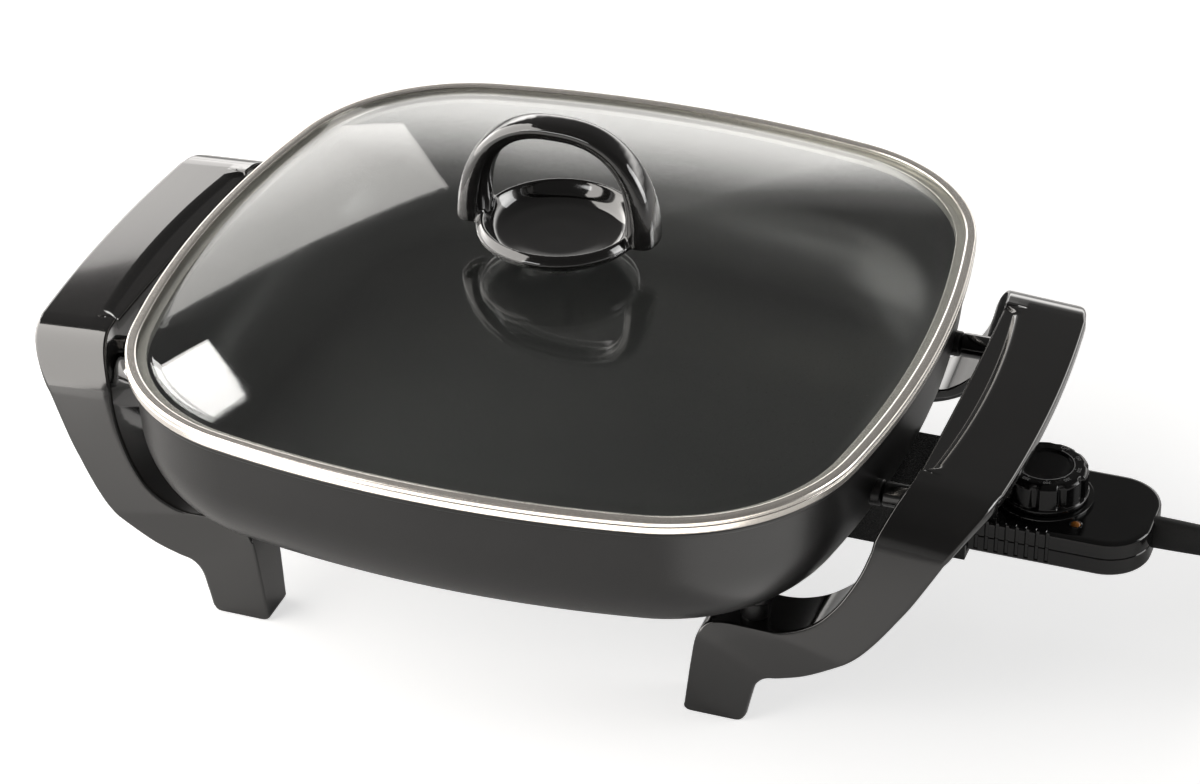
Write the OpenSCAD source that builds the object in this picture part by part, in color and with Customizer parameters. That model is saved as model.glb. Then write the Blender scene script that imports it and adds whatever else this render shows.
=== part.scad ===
// Square electric skillet with a lift-off glass lid and a plug-in temperature probe.
// Millimetres. +X towards the probe, +Z up, the feet stand on z = 0.

/* [Pan] */
// Width of the steel lid band across its flat sides
rim_w = 300; // [285:1:315]
// Radius of the slightly bowed sides, at the band
side_r = 440; // [400:10:600]
// Radius of the corners, at the band
corner_r = 77; // [70:1:88]
// Height of the pan's rim above the table
rim_z = 105.85; // [102:0.05:112]
// Height of the pan's flat underside above the table
base_z = 50; // [47:1:53]
// Thickness of the cast wall
wall_t = 3; // [2.5:0.1:4]
// Thickness of the cast floor
floor_t = 4; // [3:0.1:5]
// How far the wall curves in under the pan
curve_w = 34; // [28:1:38]
// How far the wall curve rises above the underside
curve_h = 36; // [30:1:40]

/* [Lid] */
// Height of the glass dome above the band
dome_h = 13; // [8:1:20]
// Thickness of the glass
glass_t = 3.3; // [2.5:0.1:3.5]
// Diameter of the dished knob disc
dish_d = 65; // [56:1:72]
// Height of the disc's edge above the glass
dish_h = 14; // [12:1:18]
// Width of the knob arch, between the middles of its legs
arch_w = 68; // [60:0.2:72]
// Height of the knob arch above the disc's edge, at its middle line
arch_h = 40.4; // [34:0.2:46]

/* [Handles] */
// Reach of each grip beyond the band
grip_reach = 44.5; // [40:0.5:50]
// Width of the grip's top at its middle
grip_w = 34; // [31:0.5:36]
// Height of the grip's inner edge above the table
grip_z = 99.6; // [98.6:0.2:104]
// Drop from the grip's inner edge to its outer edge
grip_drop = 3.8; // [2:0.2:5]
// Distance from the middle of the part to the front of each leg
leg_y = 100.5; // [96:0.5:106]
// Width of each foot
foot_w = 23.5; // [20:0.5:26]
// Skin thickness of the moulding
skin_t = 5; // [4:0.2:6]
// Thickness of the inner flange
flange_t = 4; // [3:0.2:5]
// Depth of the grip's inner skirt
skirt_h = 25.4; // [23:0.2:27]
// Diameter of the spacer pegs between pan and grip
peg_d = 9.5; // [8:0.5:11]
// Distance of each spacer peg from the middle of the grip
peg_y = 54; // [48:1:56]

/* [Heater] */
// Diameter of the heating element's sheath
element_d = 6.4; // [6:0.1:7]
// Half width of the element's square loop
loop_half = 78; // [70:1:82]
// Diameter of the terminal pins
pin_d = 4.76; // [4.4:0.02:5]
// Distance between the terminal pins
pin_gap = 28; // [26:1:30]
// Height of the pins and of the sensor rod above the table
pin_z = 46.4; // [45.5:0.1:47]
// Diameter of the sensor rod
rod_d = 6.35; // [6:0.05:6.6]

/* [Shroud] */
// Width of the terminal shroud
shroud_w = 48; // [46:1:52]
// Reach of the shroud beyond the band
shroud_reach = 19.5; // [16:0.5:24]
// Top of the shroud above the table
shroud_top = 57; // [56.5:0.1:58]
// Bottom of the shroud above the table
shroud_bottom = 36; // [35:0.1:37]
// Wall thickness of the shroud
shroud_t = 2.4; // [2:0.1:2.8]

/* [Probe] */
// Length of the probe's case outside the shroud
case_l = 66; // [62:1:72]
// Width of the probe's case
case_w = 47.4; // [46:0.2:50]
// Radius of the case's far corners
case_r = 17; // [13:1:19]
// Height of the case
case_h = 15; // [14:0.5:15.5]
// Height of the lower half of the case
lower_h = 8; // [7.6:0.1:8.5]
// Diameter of the dial
dial_d = 34; // [30:1:37]
// Height of the dial
dial_h = 12.6; // [10:0.2:15]
// Number of flutes on the dial
flutes = 10; // [8:1:16]
// Diameter of the dial shaft
shaft_d = 6; // [5:0.1:7]
// Number of grip grooves on each side of the case
grooves = 8; // [5:1:8]
// Distance between the grip grooves
groove_gap = 3.85; // [3.4:0.05:3.9]

/* [Cord] */
// Diameter of the cord
cord_d = 7.6; // [7:0.1:8]
// Length of the strain relief
relief_l = 40; // [30:1:50]

/* [Fits] */
// Radial clearance of sliding and turning fits
fit = 0.06; // [0.04:0.01:0.09]
// Gap between parts that only lie next to each other
gap = 0.3; // [0.2:0.05:0.5]

/* [Hidden] */
$fn = 40;
half = rim_w / 2;
run = side_r - half;
bow = side_r - corner_r;
corner_c = (sqrt(2 * bow * bow - run * run) - run) / 2;
corner_a = atan2(corner_c, run + corner_c);
side_n = 3;
corner_n = 8;
curve_n = 7;
draft = 0.06;
wall_top_d = 2.8;
curve_top = base_z + curve_h;
wall_low_d = wall_top_d + draft * (rim_z - curve_top);
lid_z = rim_z + 0.05;
band_h = 5.7;
glass_top = lid_z + band_h - 0.85;
hem_in = 4.2;
dome_d = 8;
crown_z = glass_top + dome_h;
crown_s = 0.2;
washer_t = 1.5;
dish_z = crown_z + dish_h;
screw_d = 4;
flange_z = base_z - 8.2;
foot_x = half - 66;
grip_out = half + grip_reach;
grip_in = grip_out - grip_w;
grip_half = 70;
lean_z = 35;
lean = 0.3;
bend_r = 23;
grip_bow = 0.8;
grip_crown = 1.5;
step_y = 56;
peg_z = grip_z - 19;
peg_face = half - 4.5;
boss_x = half - 42;
boss_y = leg_y - 11.5;
case_x0 = half + shroud_reach + 0.7;
case_x1 = case_x0 + case_l;
case_z = pin_z - 6.4;
split_z = case_z + lower_h;
case_top = case_z + case_h;
case_t = 2;
nose_w = shroud_w - 2 * shroud_t - 2;
nose_x = half - 8;
dial_x = case_x0 + 22.8;
ledge_h = 1.8;
ledge_r = dial_d / 2 + 2;
lens_d = 3.8;
lens_x = dial_x + 15.8;
lens_y = 9.1 - case_w / 2;
relief_x = case_x1 + relief_l;
cord_z = case_z + 8.4;
shift_x = (relief_x - grip_out) / 2;
coil_r = 42;
coil_x = relief_x + 66;
coil_pitch = 1.025 * cord_d;
tie_t = 0.8;
coil_base = tie_t + gap + 0.05;
coil_z = coil_base + cord_d / 2 + 2 * coil_pitch;
plug_x = coil_x + 31;
plug_y = -10;
plug_a = -26;
plug_l = 31;

// ---------- outlines and lofts ----------

// One quarter of the rounded square, moved in by d from the band's edge
function quarter(d) = concat(
  [for (i = [0:side_n - 1]) let (a = corner_a * i / side_n)
    [(side_r - d) * cos(a) - run, (side_r - d) * sin(a)]],
  [for (i = [0:corner_n]) let (a = corner_a + (90 - 2 * corner_a) * i / corner_n)
    [corner_c + (corner_r - d) * cos(a), corner_c + (corner_r - d) * sin(a)]],
  [for (i = [side_n - 1:-1:1]) let (a = corner_a * i / side_n)
    [(side_r - d) * sin(a), (side_r - d) * cos(a) - run]]
);

function turned(p, a) = [p.x * cos(a) - p.y * sin(a), p.x * sin(a) + p.y * cos(a)];

// The whole outline as one ring at height z, scaled by s
function ring(d, z, s = 1) = [
  for (k = [0:3]) for (p = quarter(d)) let (q = turned(p, 90 * k)) [q.x * s, q.y * s, z]
];

function side_faces(n, j, k) = [
  for (i = [0:n - 1]) each let (m = (i + 1) % n)
    [[k * n + m, j * n + m, j * n + i], [k * n + i, k * n + m, j * n + i]]
];

// A solid through a row of rings, closed by its first and last ring
module loft(rings) {
  n = len(rings[0]);
  last = len(rings) - 1;
  polyhedron(
    points = [for (r = rings) each r],
    faces = concat(
      [[for (i = [0:n - 1]) i]],
      [for (j = [0:last - 1]) each side_faces(n, j, j + 1)],
      [[for (i = [n - 1:-1:0]) last * n + i]]
    ),
    convexity = 6
  );
}

// A closed hoop through a row of rings
module hoop(rings) {
  n = len(rings[0]);
  m = len(rings);
  polyhedron(
    points = [for (r = rings) each r],
    faces = [for (j = [0:m - 1]) each side_faces(n, j, (j + 1) % m)],
    convexity = 6
  );
}

function unit(v) = v / norm(v);

// Direction of a route at point i
function heading(p, i) = unit(p[min(i + 1, len(p) - 1)] - p[max(i - 1, 0)]);

// A round section of radius r at p, square to direction t
function tube_ring(p, t, r, n) =
  let (u = unit(cross([0, 0, 1], t)), v = cross(t, u))
  [for (k = [0:n - 1]) p + r * (cos(360 * k / n) * u + sin(360 * k / n) * v)];

// A round tube along a route, with its ends square to the given directions
module tube(route, d, first, last, n = 12) {
  m = len(route) - 1;
  loft([for (i = [0:m])
    tube_ring(route[i], i == 0 ? first : i == m ? last : heading(route, i), d / 2, n)]);
}

module place() {
  translate([-shift_x, 0, 0]) children();
}

module along_x(x0, x1, y, z, d) {
  translate([x0, y, z]) rotate([0, 90, 0]) cylinder(d = d, h = x1 - x0);
}

// A flat slab with rounded corners on its +X side only
module far_rounded(x0, x1, w, r, z0, z1) {
  translate([0, 0, z0]) linear_extrude(z1 - z0) union() {
    translate([x0, -w / 2]) square([x1 - x0 - r, w]);
    translate([x0, -w / 2 + r]) square([x1 - x0, w - 2 * r]);
    for (s = [-1, 1]) translate([x1 - r, s * (w / 2 - r)]) circle(r);
  }
}

// ---------- pan ----------

// Moved-in distance and height on the outer curve, then on the inner curve
function outer_curve(a) = [wall_low_d + curve_w * (1 - cos(a)), curve_top - curve_h * sin(a)];
function inner_curve(a) = [
  wall_low_d + wall_t + (curve_w - wall_t) * (1 - cos(a)),
  curve_top - (curve_h - floor_t) * sin(a)
];

// Distance moved in where the outer curve is at height z
function curve_d(z) = wall_low_d + curve_w * (1 - sqrt(1 - pow((curve_top - z) / curve_h, 2)));

// Height of the outer curve at the moved-in distance d
function curve_z(d) = curve_top - curve_h * sqrt(1 - pow(1 - (d - wall_low_d) / curve_w, 2));

module pan_shell() {
  outside = [for (i = [curve_n:-1:0]) outer_curve(90 * i / curve_n)];
  lip = [
    [wall_top_d, rim_z - 2.8], [1.6, rim_z - 1.8], [1.2, rim_z - 1],
    [1.6, rim_z], [wall_top_d + wall_t, rim_z], [wall_top_d + wall_t + 0.4, rim_z - 1.2]
  ];
  inside = [for (i = [0:curve_n]) inner_curve(90 * i / curve_n)];
  loft([for (p = concat(outside, lip, inside)) ring(p[0], p[1])]);
}

// Four copies, one at each handle screw or peg
module each_corner(x, y) {
  for (sx = [-1, 1], sy = [-1, 1]) translate([sx * x, sy * y, 0]) children();
}

module leg_bosses() {
  each_corner(boss_x, boss_y) difference() {
    translate([0, 0, flange_z]) cylinder(d = 11, h = base_z - flange_z + floor_t - 0.6);
    translate([0, 0, flange_z - 1]) cylinder(d = 3.4, h = 7);
  }
}

module peg_bosses() {
  for (s = [0, 180]) rotate(s) for (y = [-peg_y, peg_y]) difference() {
    along_x(peg_face - 4.6, peg_face, y, peg_z, peg_d + 0.5);
    along_x(peg_face - 3.4, peg_face + 1, y, peg_z, 4 + 2 * fit);
  }
}

ridge_w = element_d + 5;
ridge_z = pin_z - element_d / 2 + 1;
ridge_in = 28;
tail_x = half - 39;
well_z = pin_z - rod_d / 2 - 2;
well_x = tail_x - 52;

module loop_plan(w) {
  difference() {
    rounded_plan(loop_half + w / 2, ridge_in + w / 2);
    rounded_plan(loop_half - w / 2, ridge_in - w / 2);
  }
}

module rounded_plan(h, r) {
  square([2 * h, 2 * (h - r)], center = true);
  square([2 * (h - r), 2 * h], center = true);
  for (sx = [-1, 1], sy = [-1, 1]) translate([sx * (h - r), sy * (h - r)]) circle(r);
}

// Cast ridge under the floor that holds the element and the sensor well
module element_ridge() {
  difference() {
    union() {
      translate([0, 0, ridge_z]) linear_extrude(base_z - ridge_z) loop_plan(ridge_w);
      for (s = [-1, 1]) translate([loop_half - 4, s * pin_gap / 2 - ridge_w / 2, ridge_z])
        cube([tail_x - loop_half + 4, ridge_w, base_z - ridge_z]);
      translate([well_x - 4, -6, well_z]) cube([tail_x - well_x + 4, 12, base_z - well_z]);
    }
    element_path(element_d + 2 * fit, tail_x + 1);
    along_x(well_x, tail_x + 1, 0, pin_z, rod_d + 2 * fit);
  }
}

post_x = half - 22;
post_y = 7.4;
post_d = 5.6;
shroud_floor = shroud_bottom + shroud_t;

// Posts inside the shroud that take its screws
module shroud_posts() {
  top = curve_z(half - post_x) + 1.4;
  for (s = [-1, 1]) difference() {
    translate([post_x, s * post_y, shroud_floor]) cylinder(d = post_d, h = top - shroud_floor);
    translate([post_x, s * post_y, shroud_floor - 1]) cylinder(d = 2.2, h = 10);
  }
}

module pan() {
  color([0.09, 0.09, 0.095]) union() {
    pan_shell();
    leg_bosses();
    peg_bosses();
    element_ridge();
    shroud_posts();
  }
}

// ---------- heater ----------

// The element's line: a square loop with both ends led out to the terminals
module element_path(d, tail) {
  straight = loop_half - ridge_in;
  y = pin_gap / 2;
  translate([0, 0, pin_z]) {
    for (s = [-1, 1]) {
      translate([-straight, s * loop_half, 0]) rotate([0, 90, 0]) cylinder(d = d, h = 2 * straight);
      translate([loop_half, s * y, 0]) rotate([0, 90, 0]) cylinder(d = d, h = tail - loop_half);
      translate([loop_half, s > 0 ? y : -straight, 0]) rotate([-90, 0, 0]) cylinder(d = d, h = straight - y);
      translate([loop_half, s * y, 0]) sphere(d = d);
    }
    translate([-loop_half, -straight, 0]) rotate([-90, 0, 0]) cylinder(d = d, h = 2 * straight);
    for (k = [0:3]) rotate(90 * k) translate([straight, straight, 0])
      rotate_extrude(angle = 90) translate([ridge_in, 0]) circle(d = d);
  }
}

module heating_element() {
  color([0.45, 0.44, 0.43]) element_path(element_d, tail_x + 4);
}

module terminal_pins() {
  color([0.78, 0.72, 0.5]) for (s = [-1, 1])
    along_x(tail_x + 4, half + 8, s * pin_gap / 2, pin_z, pin_d);
}

// Ceramic collars round the roots of the pins
module terminal_bushings() {
  color([0.93, 0.92, 0.88]) for (s = [-1, 1]) difference() {
    along_x(tail_x + 4, tail_x + 12, s * pin_gap / 2, pin_z, 2 * (base_z - pin_z - gap));
    along_x(tail_x + 3, tail_x + 13, s * pin_gap / 2, pin_z, pin_d + 2 * fit);
  }
}

// ---------- shroud ----------

shroud_x0 = tail_x + 4;
shroud_x1 = half + shroud_reach;

// Point on a line that follows the pan's curve, inset below the shroud's own top
function under_curve(z, inset) = [half - curve_d(z + inset + gap) + gap + inset, z];

// The shroud's outline from the side, kept a gap away from the pan's curve
module shroud_side() {
  polygon(concat(
    [[shroud_x0, shroud_bottom], [shroud_x1, shroud_bottom], [shroud_x1, shroud_top]],
    [for (f = [0, 0.3, 0.6, 0.85]) under_curve(shroud_top + (base_z + 0.8 - shroud_top) * f, 0)],
    [[shroud_x0 + 1, base_z - gap], [shroud_x0, base_z - gap]]
  ));
}

// The room inside: open at both ends, and open above where the pan covers the pins
module shroud_room() {
  top = shroud_top - shroud_t;
  low = pin_z + rod_d / 2 + gap;
  start = under_curve(low, shroud_t);
  polygon(concat(
    [[shroud_x0 - 10, shroud_floor], [shroud_x1 + 10, shroud_floor], [shroud_x1 + 10, top]],
    [for (f = [0, 0.5]) under_curve(top + (low - top) * f, shroud_t)],
    [start, [start.x, shroud_top + 1], [shroud_x0 - 10, shroud_top + 1]]
  ));
}

module terminal_shroud() {
  w = shroud_w;
  color([0.05, 0.05, 0.055]) difference() {
    translate([0, w / 2, 0]) rotate([90, 0, 0]) linear_extrude(w) shroud_side();
    translate([0, w / 2 - shroud_t, 0]) rotate([90, 0, 0]) linear_extrude(w - 2 * shroud_t)
      shroud_room();
    for (s = [-1, 1]) translate([post_x, s * post_y, 0]) {
      translate([0, 0, shroud_floor + 4]) cylinder(d = post_d + 2 * gap, h = 20);
      translate([0, 0, shroud_bottom - 1]) cylinder(d = 2.8, h = shroud_t + 2);
    }
  }
}

module shroud_screws() {
  color([0.6, 0.6, 0.6]) for (s = [-1, 1]) translate([post_x, s * post_y, 0]) {
    translate([0, 0, shroud_bottom - 1.6]) cylinder(d = 4.8, h = 1.6);
    translate([0, 0, shroud_bottom - 0.4]) cylinder(d = 2.1, h = shroud_t + 8);
  }
}

// ---------- handles ----------

// Height of a leg point, kept in step with the boss height and the grip height
function leg_height(z) = z <= 41.8 ? z * flange_z / 41.8
  : flange_z + (z - 41.8) * (grip_z - flange_z) / 57.8;

// The leg's front leans inwards above the knee
function front_y(z) = -leg_y + max(0, z - lean_z) * lean;

// Inner and outer edge of one leg as [inner x, inner z, outer x, outer z], from the foot up
leg_edges = [
  [0, 0, foot_w, 0], [1.4, 12, foot_w + 2.2, 10], [2.9, 24, foot_w + 4.2, 17],
  [4.6, 34, foot_w + 8, 21], [8, 40, foot_w + 14, 22.6], [14, 41.8, foot_w + 23.5, 26],
  [24, 41.8, foot_w + 34, 32], [34, 41.8, foot_w + 41.5, 37.2], [42, 44, foot_w + 47, 42.8],
  [49, 48, foot_w + 51.6, 48.6], [54.4, 53.6, foot_w + 55.8, 54.4], [58.8, 60, foot_w + 60, 60.4],
  [63.4, 69, foot_w + 65.4, 69.4], [66.4, 78, foot_w + 69.8, 77]
];

function leg_point(x, z) = let (h = leg_height(z)) [foot_x + x, front_y(h), h];

// Tangent bend between the leaning front and a level top at height h
lean_a = atan(lean);
bend_cut = bend_r * tan((90 - lean_a) / 2);
function bend_corner(h) = [front_y(h), h];
function bend_start(h) = bend_corner(h) - bend_cut * [sin(lean_a), cos(lean_a)];
function bend_mid(h) = [bend_corner(h)[0] + bend_cut, h - bend_r];
function bend_point(h, f) =
  let (c = bend_mid(h), a = 180 - lean_a - (90 - lean_a) * f)
  [c[0] + bend_r * cos(a), c[1] + bend_r * sin(a)];

// Curve from a to b that leaves with slope m and arrives with slope n, at f from 0 to 1
function eased(a, b, m, n, f) =
  a + f * (m + f * (3 * (b - a) - 2 * m - n + f * (2 * (a - b) + m + n)));

function grip_in_x(y) = grip_in - grip_bow * pow(y / grip_half, 2);
function grip_out_x(y) = grip_out - 3.6 * pow(y / grip_half, 2);
function grip_in_z(y) = grip_z - grip_crown * pow(y / grip_half, 2);
grip_out_z = grip_z - grip_drop;
grip_end_z = grip_in_z(grip_half);

// One cross-section: an L with its corner at the inner edge. in and out are the
// edges of the outer surface, n its normal, w the way from the flange into the skin
// and deep the end of the flange.
function l_ring(in, out, n, w, deep) =
  [in, out, out - skin_t * n, in + flange_t * w - skin_t * n, deep + flange_t * w, deep];

// Way from the inner edge into the leg, square to that edge and level at the foot
function leg_way(i) = i == 0 ? [1, 0, 0] :
  let (a = leg_edges[max(i - 1, 0)], b = leg_edges[min(i + 1, len(leg_edges) - 1)],
    t = unit([b[0] - a[0], b[1] - a[1]]))
  [t[1], 0, -t[0]];

// Depth of the flange at height z of leg_edges, growing towards the bend
function flange_d(z) = 17 + min(5, z / 8) + min(4, max(0, z - 34) / 4);

// The flange's far edge lags behind the front, to leave room for the bend
function flange_lag(z) = z <= flange_z ? z : flange_z + (z - flange_z) * 0.6;

function leg_rings() = [
  for (i = [0:len(leg_edges) - 1])
    let (e = leg_edges[i], in = leg_point(e[0], e[1]), out = leg_point(e[2], e[3]),
      z = flange_lag(in.z))
    l_ring(in, out, [0, -1, 0], leg_way(i), [in.x, front_y(z) + flange_d(e[1]), z])
];

function bend_rings(steps) = [
  for (i = [0:steps])
    let (f = i / steps, a = 180 - lean_a - (90 - lean_a) * f,
      pi = bend_point(grip_end_z, f), po = bend_point(grip_out_z, f),
      x0 = foot_x + 67, x1 = foot_x + foot_w + 71.5, low = grip_end_z - skirt_h, r = 3.5,
      in = [eased(x0, grip_in_x(grip_half), 9, 1, f), pi[0], pi[1]],
      out = [eased(x1, grip_out_x(grip_half), 15, 3, f), po[0], po[1]])
    l_ring(in, out, [0, cos(a), sin(a)], [1, 0, 0],
      [in.x, front_y(low) + flange_d(78) + r + r * cos(a), low - r + r * sin(a)])
];

function grip_rings() = [
  for (y = [-56:14:0])
    l_ring([grip_in_x(y), y, grip_in_z(y)], [grip_out_x(y), y, grip_out_z], [0, 0, 1], [1, 0, 0],
      [grip_in_x(y), y * 0.88, grip_end_z - skirt_h])
];

function mirrored(rings) = [
  for (i = [len(rings) - 2:-1:0]) [for (p = rings[i]) [p.x, -p.y, p.z]]
];

// Crescent step along the inner edge of the grip's top, widest at its middle
module grip_step() {
  translate([0, 0, grip_z - 2.8]) linear_extrude(12) polygon(concat(
    [for (i = [-4:4]) let (y = step_y * i / 4) [grip_in + 8.9 - 6 * pow(y / grip_half, 2), y]],
    [[grip_in - 3, step_y + 7], [grip_in - 16, step_y + 7]],
    [[grip_in - 16, -step_y - 7], [grip_in - 3, -step_y - 7]]
  ));
}

module handle() {
  near = concat(leg_rings(), bend_rings(5), grip_rings());
  difference() {
    union() {
      loft(concat(near, mirrored(near)));
      for (y = [-peg_y, peg_y]) {
        along_x(peg_face + 0.02, grip_in_x(peg_y) + 2, y, peg_z, peg_d);
        along_x(peg_face - 3, peg_face + 4, y, peg_z, 4);
      }
    }
    grip_step();
    for (y = [-boss_y, boss_y]) translate([boss_x, y, flange_z - 9]) cylinder(d = screw_d, h = 12);
  }
}

module right_handle() {
  color([0.035, 0.033, 0.032]) handle();
}

module left_handle() {
  color([0.035, 0.033, 0.032]) mirror([1, 0, 0]) handle();
}

// Pan-head screws from below into the four leg bosses
module handle_screws(side) {
  color([0.6, 0.6, 0.6]) for (y = [-boss_y, boss_y]) translate([side * boss_x, y, 0]) {
    translate([0, 0, flange_z - flange_t - 2.4]) cylinder(d = 7, h = 2.4);
    translate([0, 0, flange_z - flange_t - 0.5]) cylinder(d = 3.3, h = flange_t + 5);
  }
}

module right_handle_screws() {
  handle_screws(1);
}

module left_handle_screws() {
  handle_screws(-1);
}

// ---------- lid ----------

// Height of the dome's top at scale k of the outline, flat in the middle
function dome_z(k) = glass_top + dome_h * (1 - k * k) / (1 - crown_s * crown_s);

module lid_glass() {
  s = [0.97, 0.9, 0.8, 0.68, 0.54, 0.38, crown_s];
  top = [for (k = s) ring(dome_d, dome_z(k), k)];
  under = [for (i = [len(s) - 1:-1:0]) ring(dome_d, dome_z(s[i]) - glass_t, s[i])];
  edge = [
    ring(dome_d, glass_top - glass_t + 0.2), ring(1.9, glass_top - glass_t),
    ring(1.9, glass_top), ring(dome_d, glass_top + 0.2)
  ];
  color([0.75, 0.78, 0.76, 0.35]) difference() {
    loft(concat(under, edge, top));
    translate([0, 0, crown_z - 12]) cylinder(d = 7, h = 20);
  }
}

// Rolled steel band that grips the glass and drops inside the pan's rim
module lid_rim() {
  top = lid_z + band_h;
  low = glass_top - glass_t - gap;
  profile = [
    [0.8, lid_z], [0, lid_z + 0.7], [0, top - 1.4], [0.6, top - 0.4], [1.9, top], [hem_in, top],
    [hem_in, glass_top + gap], [1.6, glass_top + gap], [1.6, low], [8.2, low],
    [8.2, lid_z - 2.7], [7.2, lid_z - 2.7], [7.2, lid_z]
  ];
  color([0.82, 0.82, 0.82]) hoop([for (p = profile) ring(p[0], p[1])]);
}

// Middle line of the arch: a flattened half circle on two short legs
function arch_point(t) = [
  arch_w / 2 * sign(cos(t)) * pow(abs(cos(t)), 0.8), 0,
  dish_z + 2 + (arch_h - 2) * pow(sin(t), 0.9)
];

function arch_ring(p, t, grow, n = 16) =
  let (u = cross([0, 1, 0], t), a = 3.7 + 2.6 * grow, b = 6.6 + 2.2 * grow)
  [for (k = [0:n - 1]) let (c = cos(360 * k / n), s = sin(360 * k / n))
    p + a * sign(c) * pow(abs(c), 0.75) * u + b * sign(s) * pow(abs(s), 0.75) * [0, 1, 0]];

module knob_arch() {
  ts = [for (i = [1:17]) 10 * i];
  legs = [arch_w / 2, 0, dish_z];
  up = [0, 0, 1];
  low = legs - 1.7 * up;
  loft(concat(
    [arch_ring(low, up, 0.9), arch_ring(low + 0.4 * up, up, 1), arch_ring(legs + up, up, 1)],
    [for (t = ts) arch_ring(arch_point(t), unit(arch_point(t + 2) - arch_point(t - 2)),
      pow(1 - sin(t), 1.4))],
    [for (i = [0:2]) let (p = [legs + up, low + 0.4 * up, low][i])
      arch_ring([-p.x, 0, p.z], -up, i == 2 ? 0.9 : 1)]
  ));
}

module lid_knob() {
  r = dish_d / 2;
  hub = crown_z + washer_t;
  color([0.03, 0.03, 0.03]) difference() {
    union() {
      knob_arch();
      rotate_extrude() polygon([
        [0, hub], [11, hub], [12, hub + 2], [14, dish_z - 9], [r - 9, dish_z - 7.6],
        [r - 3, dish_z - 4.6], [r - 0.9, dish_z - 2.6], [r - 0.5, dish_z - 1], [r - 2.6, dish_z + 2.4],
        [r - 3.6, dish_z + 2.4], [r - 6, dish_z - 2.6], [r - 8.6, dish_z - 5], [14, dish_z - 6.2],
        [0, dish_z - 6.5]
      ]);
    }
    translate([0, 0, hub - 1]) cylinder(d = screw_d + 2 * fit, h = 7);
  }
}

module knob_washers() {
  color([0.55, 0.55, 0.55]) for (z = [crown_z, crown_z - glass_t - washer_t]) difference() {
    translate([0, 0, z]) cylinder(d = 20, h = washer_t);
    translate([0, 0, z - 1]) cylinder(d = screw_d + 2 * fit, h = washer_t + 2);
  }
}

module knob_screw() {
  head = crown_z - glass_t - washer_t;
  color([0.6, 0.6, 0.6]) union() {
    translate([0, 0, head - 2.6]) cylinder(d = 9, h = 2.6);
    translate([0, 0, head - 1]) cylinder(d = screw_d, h = crown_z + washer_t - head + 6.5);
  }
}

// ---------- probe ----------

module case_cavity() {
  x0 = case_x0 + case_t;
  far_rounded(x0, case_x1 - case_t, case_w - 2 * case_t, case_r - case_t, case_z + case_t, case_top - case_t);
}

// Grip grooves on both sides of the case, next to the shroud
module grip_grooves(z0, z1) {
  for (i = [0:grooves - 1], s = [-1, 1])
    translate([case_x0 + 2.6 + i * groove_gap, s * case_w / 2 - 0.9, z0 - 1])
      cube([1.3, 1.8, z1 - z0 + 2]);
}

screw_in = 14;
screw_out = 18;
screw_places = [
  for (s = [-1, 1]) each [[case_x0 + 9, s * screw_out], [case_x1 - 9, s * screw_in]]
];

module screw_posts(z0, z1) {
  for (p = screw_places) translate([p.x, p.y, z0]) cylinder(d = 6, h = z1 - z0);
}

// Lower half with the nose that carries the socket contacts
module probe_lower_case() {
  color([0.04, 0.04, 0.045]) difference() {
    union() {
      difference() {
        union() {
          far_rounded(case_x0, case_x1, case_w, case_r, case_z, split_z);
          translate([nose_x, -nose_w / 2, case_z]) cube([case_x0 - nose_x + 1, nose_w, split_z - case_z]);
        }
        case_cavity();
        grip_grooves(case_z + 1.6, split_z);
      }
      screw_posts(case_z, split_z);
      translate([case_x0, -nose_w / 2, case_z]) cube([4, nose_w, split_z - case_z]);
    }
    nose_bores();
    relief_seat();
    for (p = screw_places) translate([p.x, p.y, case_z - 1]) cylinder(d = 2.5, h = lower_h + 2);
    for (p = screw_places) translate([p.x, p.y, case_z - 1]) cylinder(d = 4.6, h = 3);
  }
}

module nose_bores() {
  for (s = [-1, 1]) along_x(nose_x - 1, case_x0 + 5, s * pin_gap / 2, pin_z, pin_d + 3.4);
  along_x(nose_x - 1, case_x0 + 5, 0, pin_z, rod_d + 2 * fit);
}

module relief_seat() {
  translate([case_x1 - case_t - 1, -4, cord_z - 4.3]) cube([case_t + 2, 8, 8.6]);
}

module probe_upper_case() {
  color([0.04, 0.04, 0.045]) difference() {
    union() {
      difference() {
        union() {
          far_rounded(case_x0, case_x1, case_w, case_r, split_z, case_top - 1.2);
          far_rounded(case_x0 + 0.4, case_x1 - 0.9, case_w - 1.8, case_r - 0.9, case_top - 1.3, case_top);
          translate([nose_x, -nose_w / 2, split_z]) cube([case_x0 - nose_x + 1, nose_w, 5.2]);
          intersection() {
            translate([dial_x, 0, case_top - 0.1]) cylinder(r = ledge_r, h = ledge_h + 0.1);
            translate([case_x0 + 0.4, -case_w / 2 + 0.9, case_top - 1]) cube([60, case_w - 1.8, 4]);
          }
        }
        case_cavity();
        grip_grooves(split_z, case_top - 1.4);
      }
      screw_posts(split_z, case_top - 1);
      translate([case_x0, -nose_w / 2, split_z]) cube([4, nose_w, 5.2]);
      translate([dial_x, 0, case_top - 4.5]) cylinder(d = shaft_d + 5, h = 4.5 + ledge_h);
    }
    nose_bores();
    relief_seat();
    translate([dial_x, 0, case_z]) cylinder(d = shaft_d + 2 * fit, h = 30);
    translate([lens_x, lens_y, case_top - 3]) cylinder(d = lens_d + 2 * fit, h = 8);
    for (p = screw_places) translate([p.x, p.y, split_z - 1]) cylinder(d = 2.2, h = 5);
  }
}

module sensor_rod() {
  color([0.72, 0.72, 0.7]) along_x(tail_x - 50, case_x0 + 8, 0, pin_z, rod_d);
}

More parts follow.
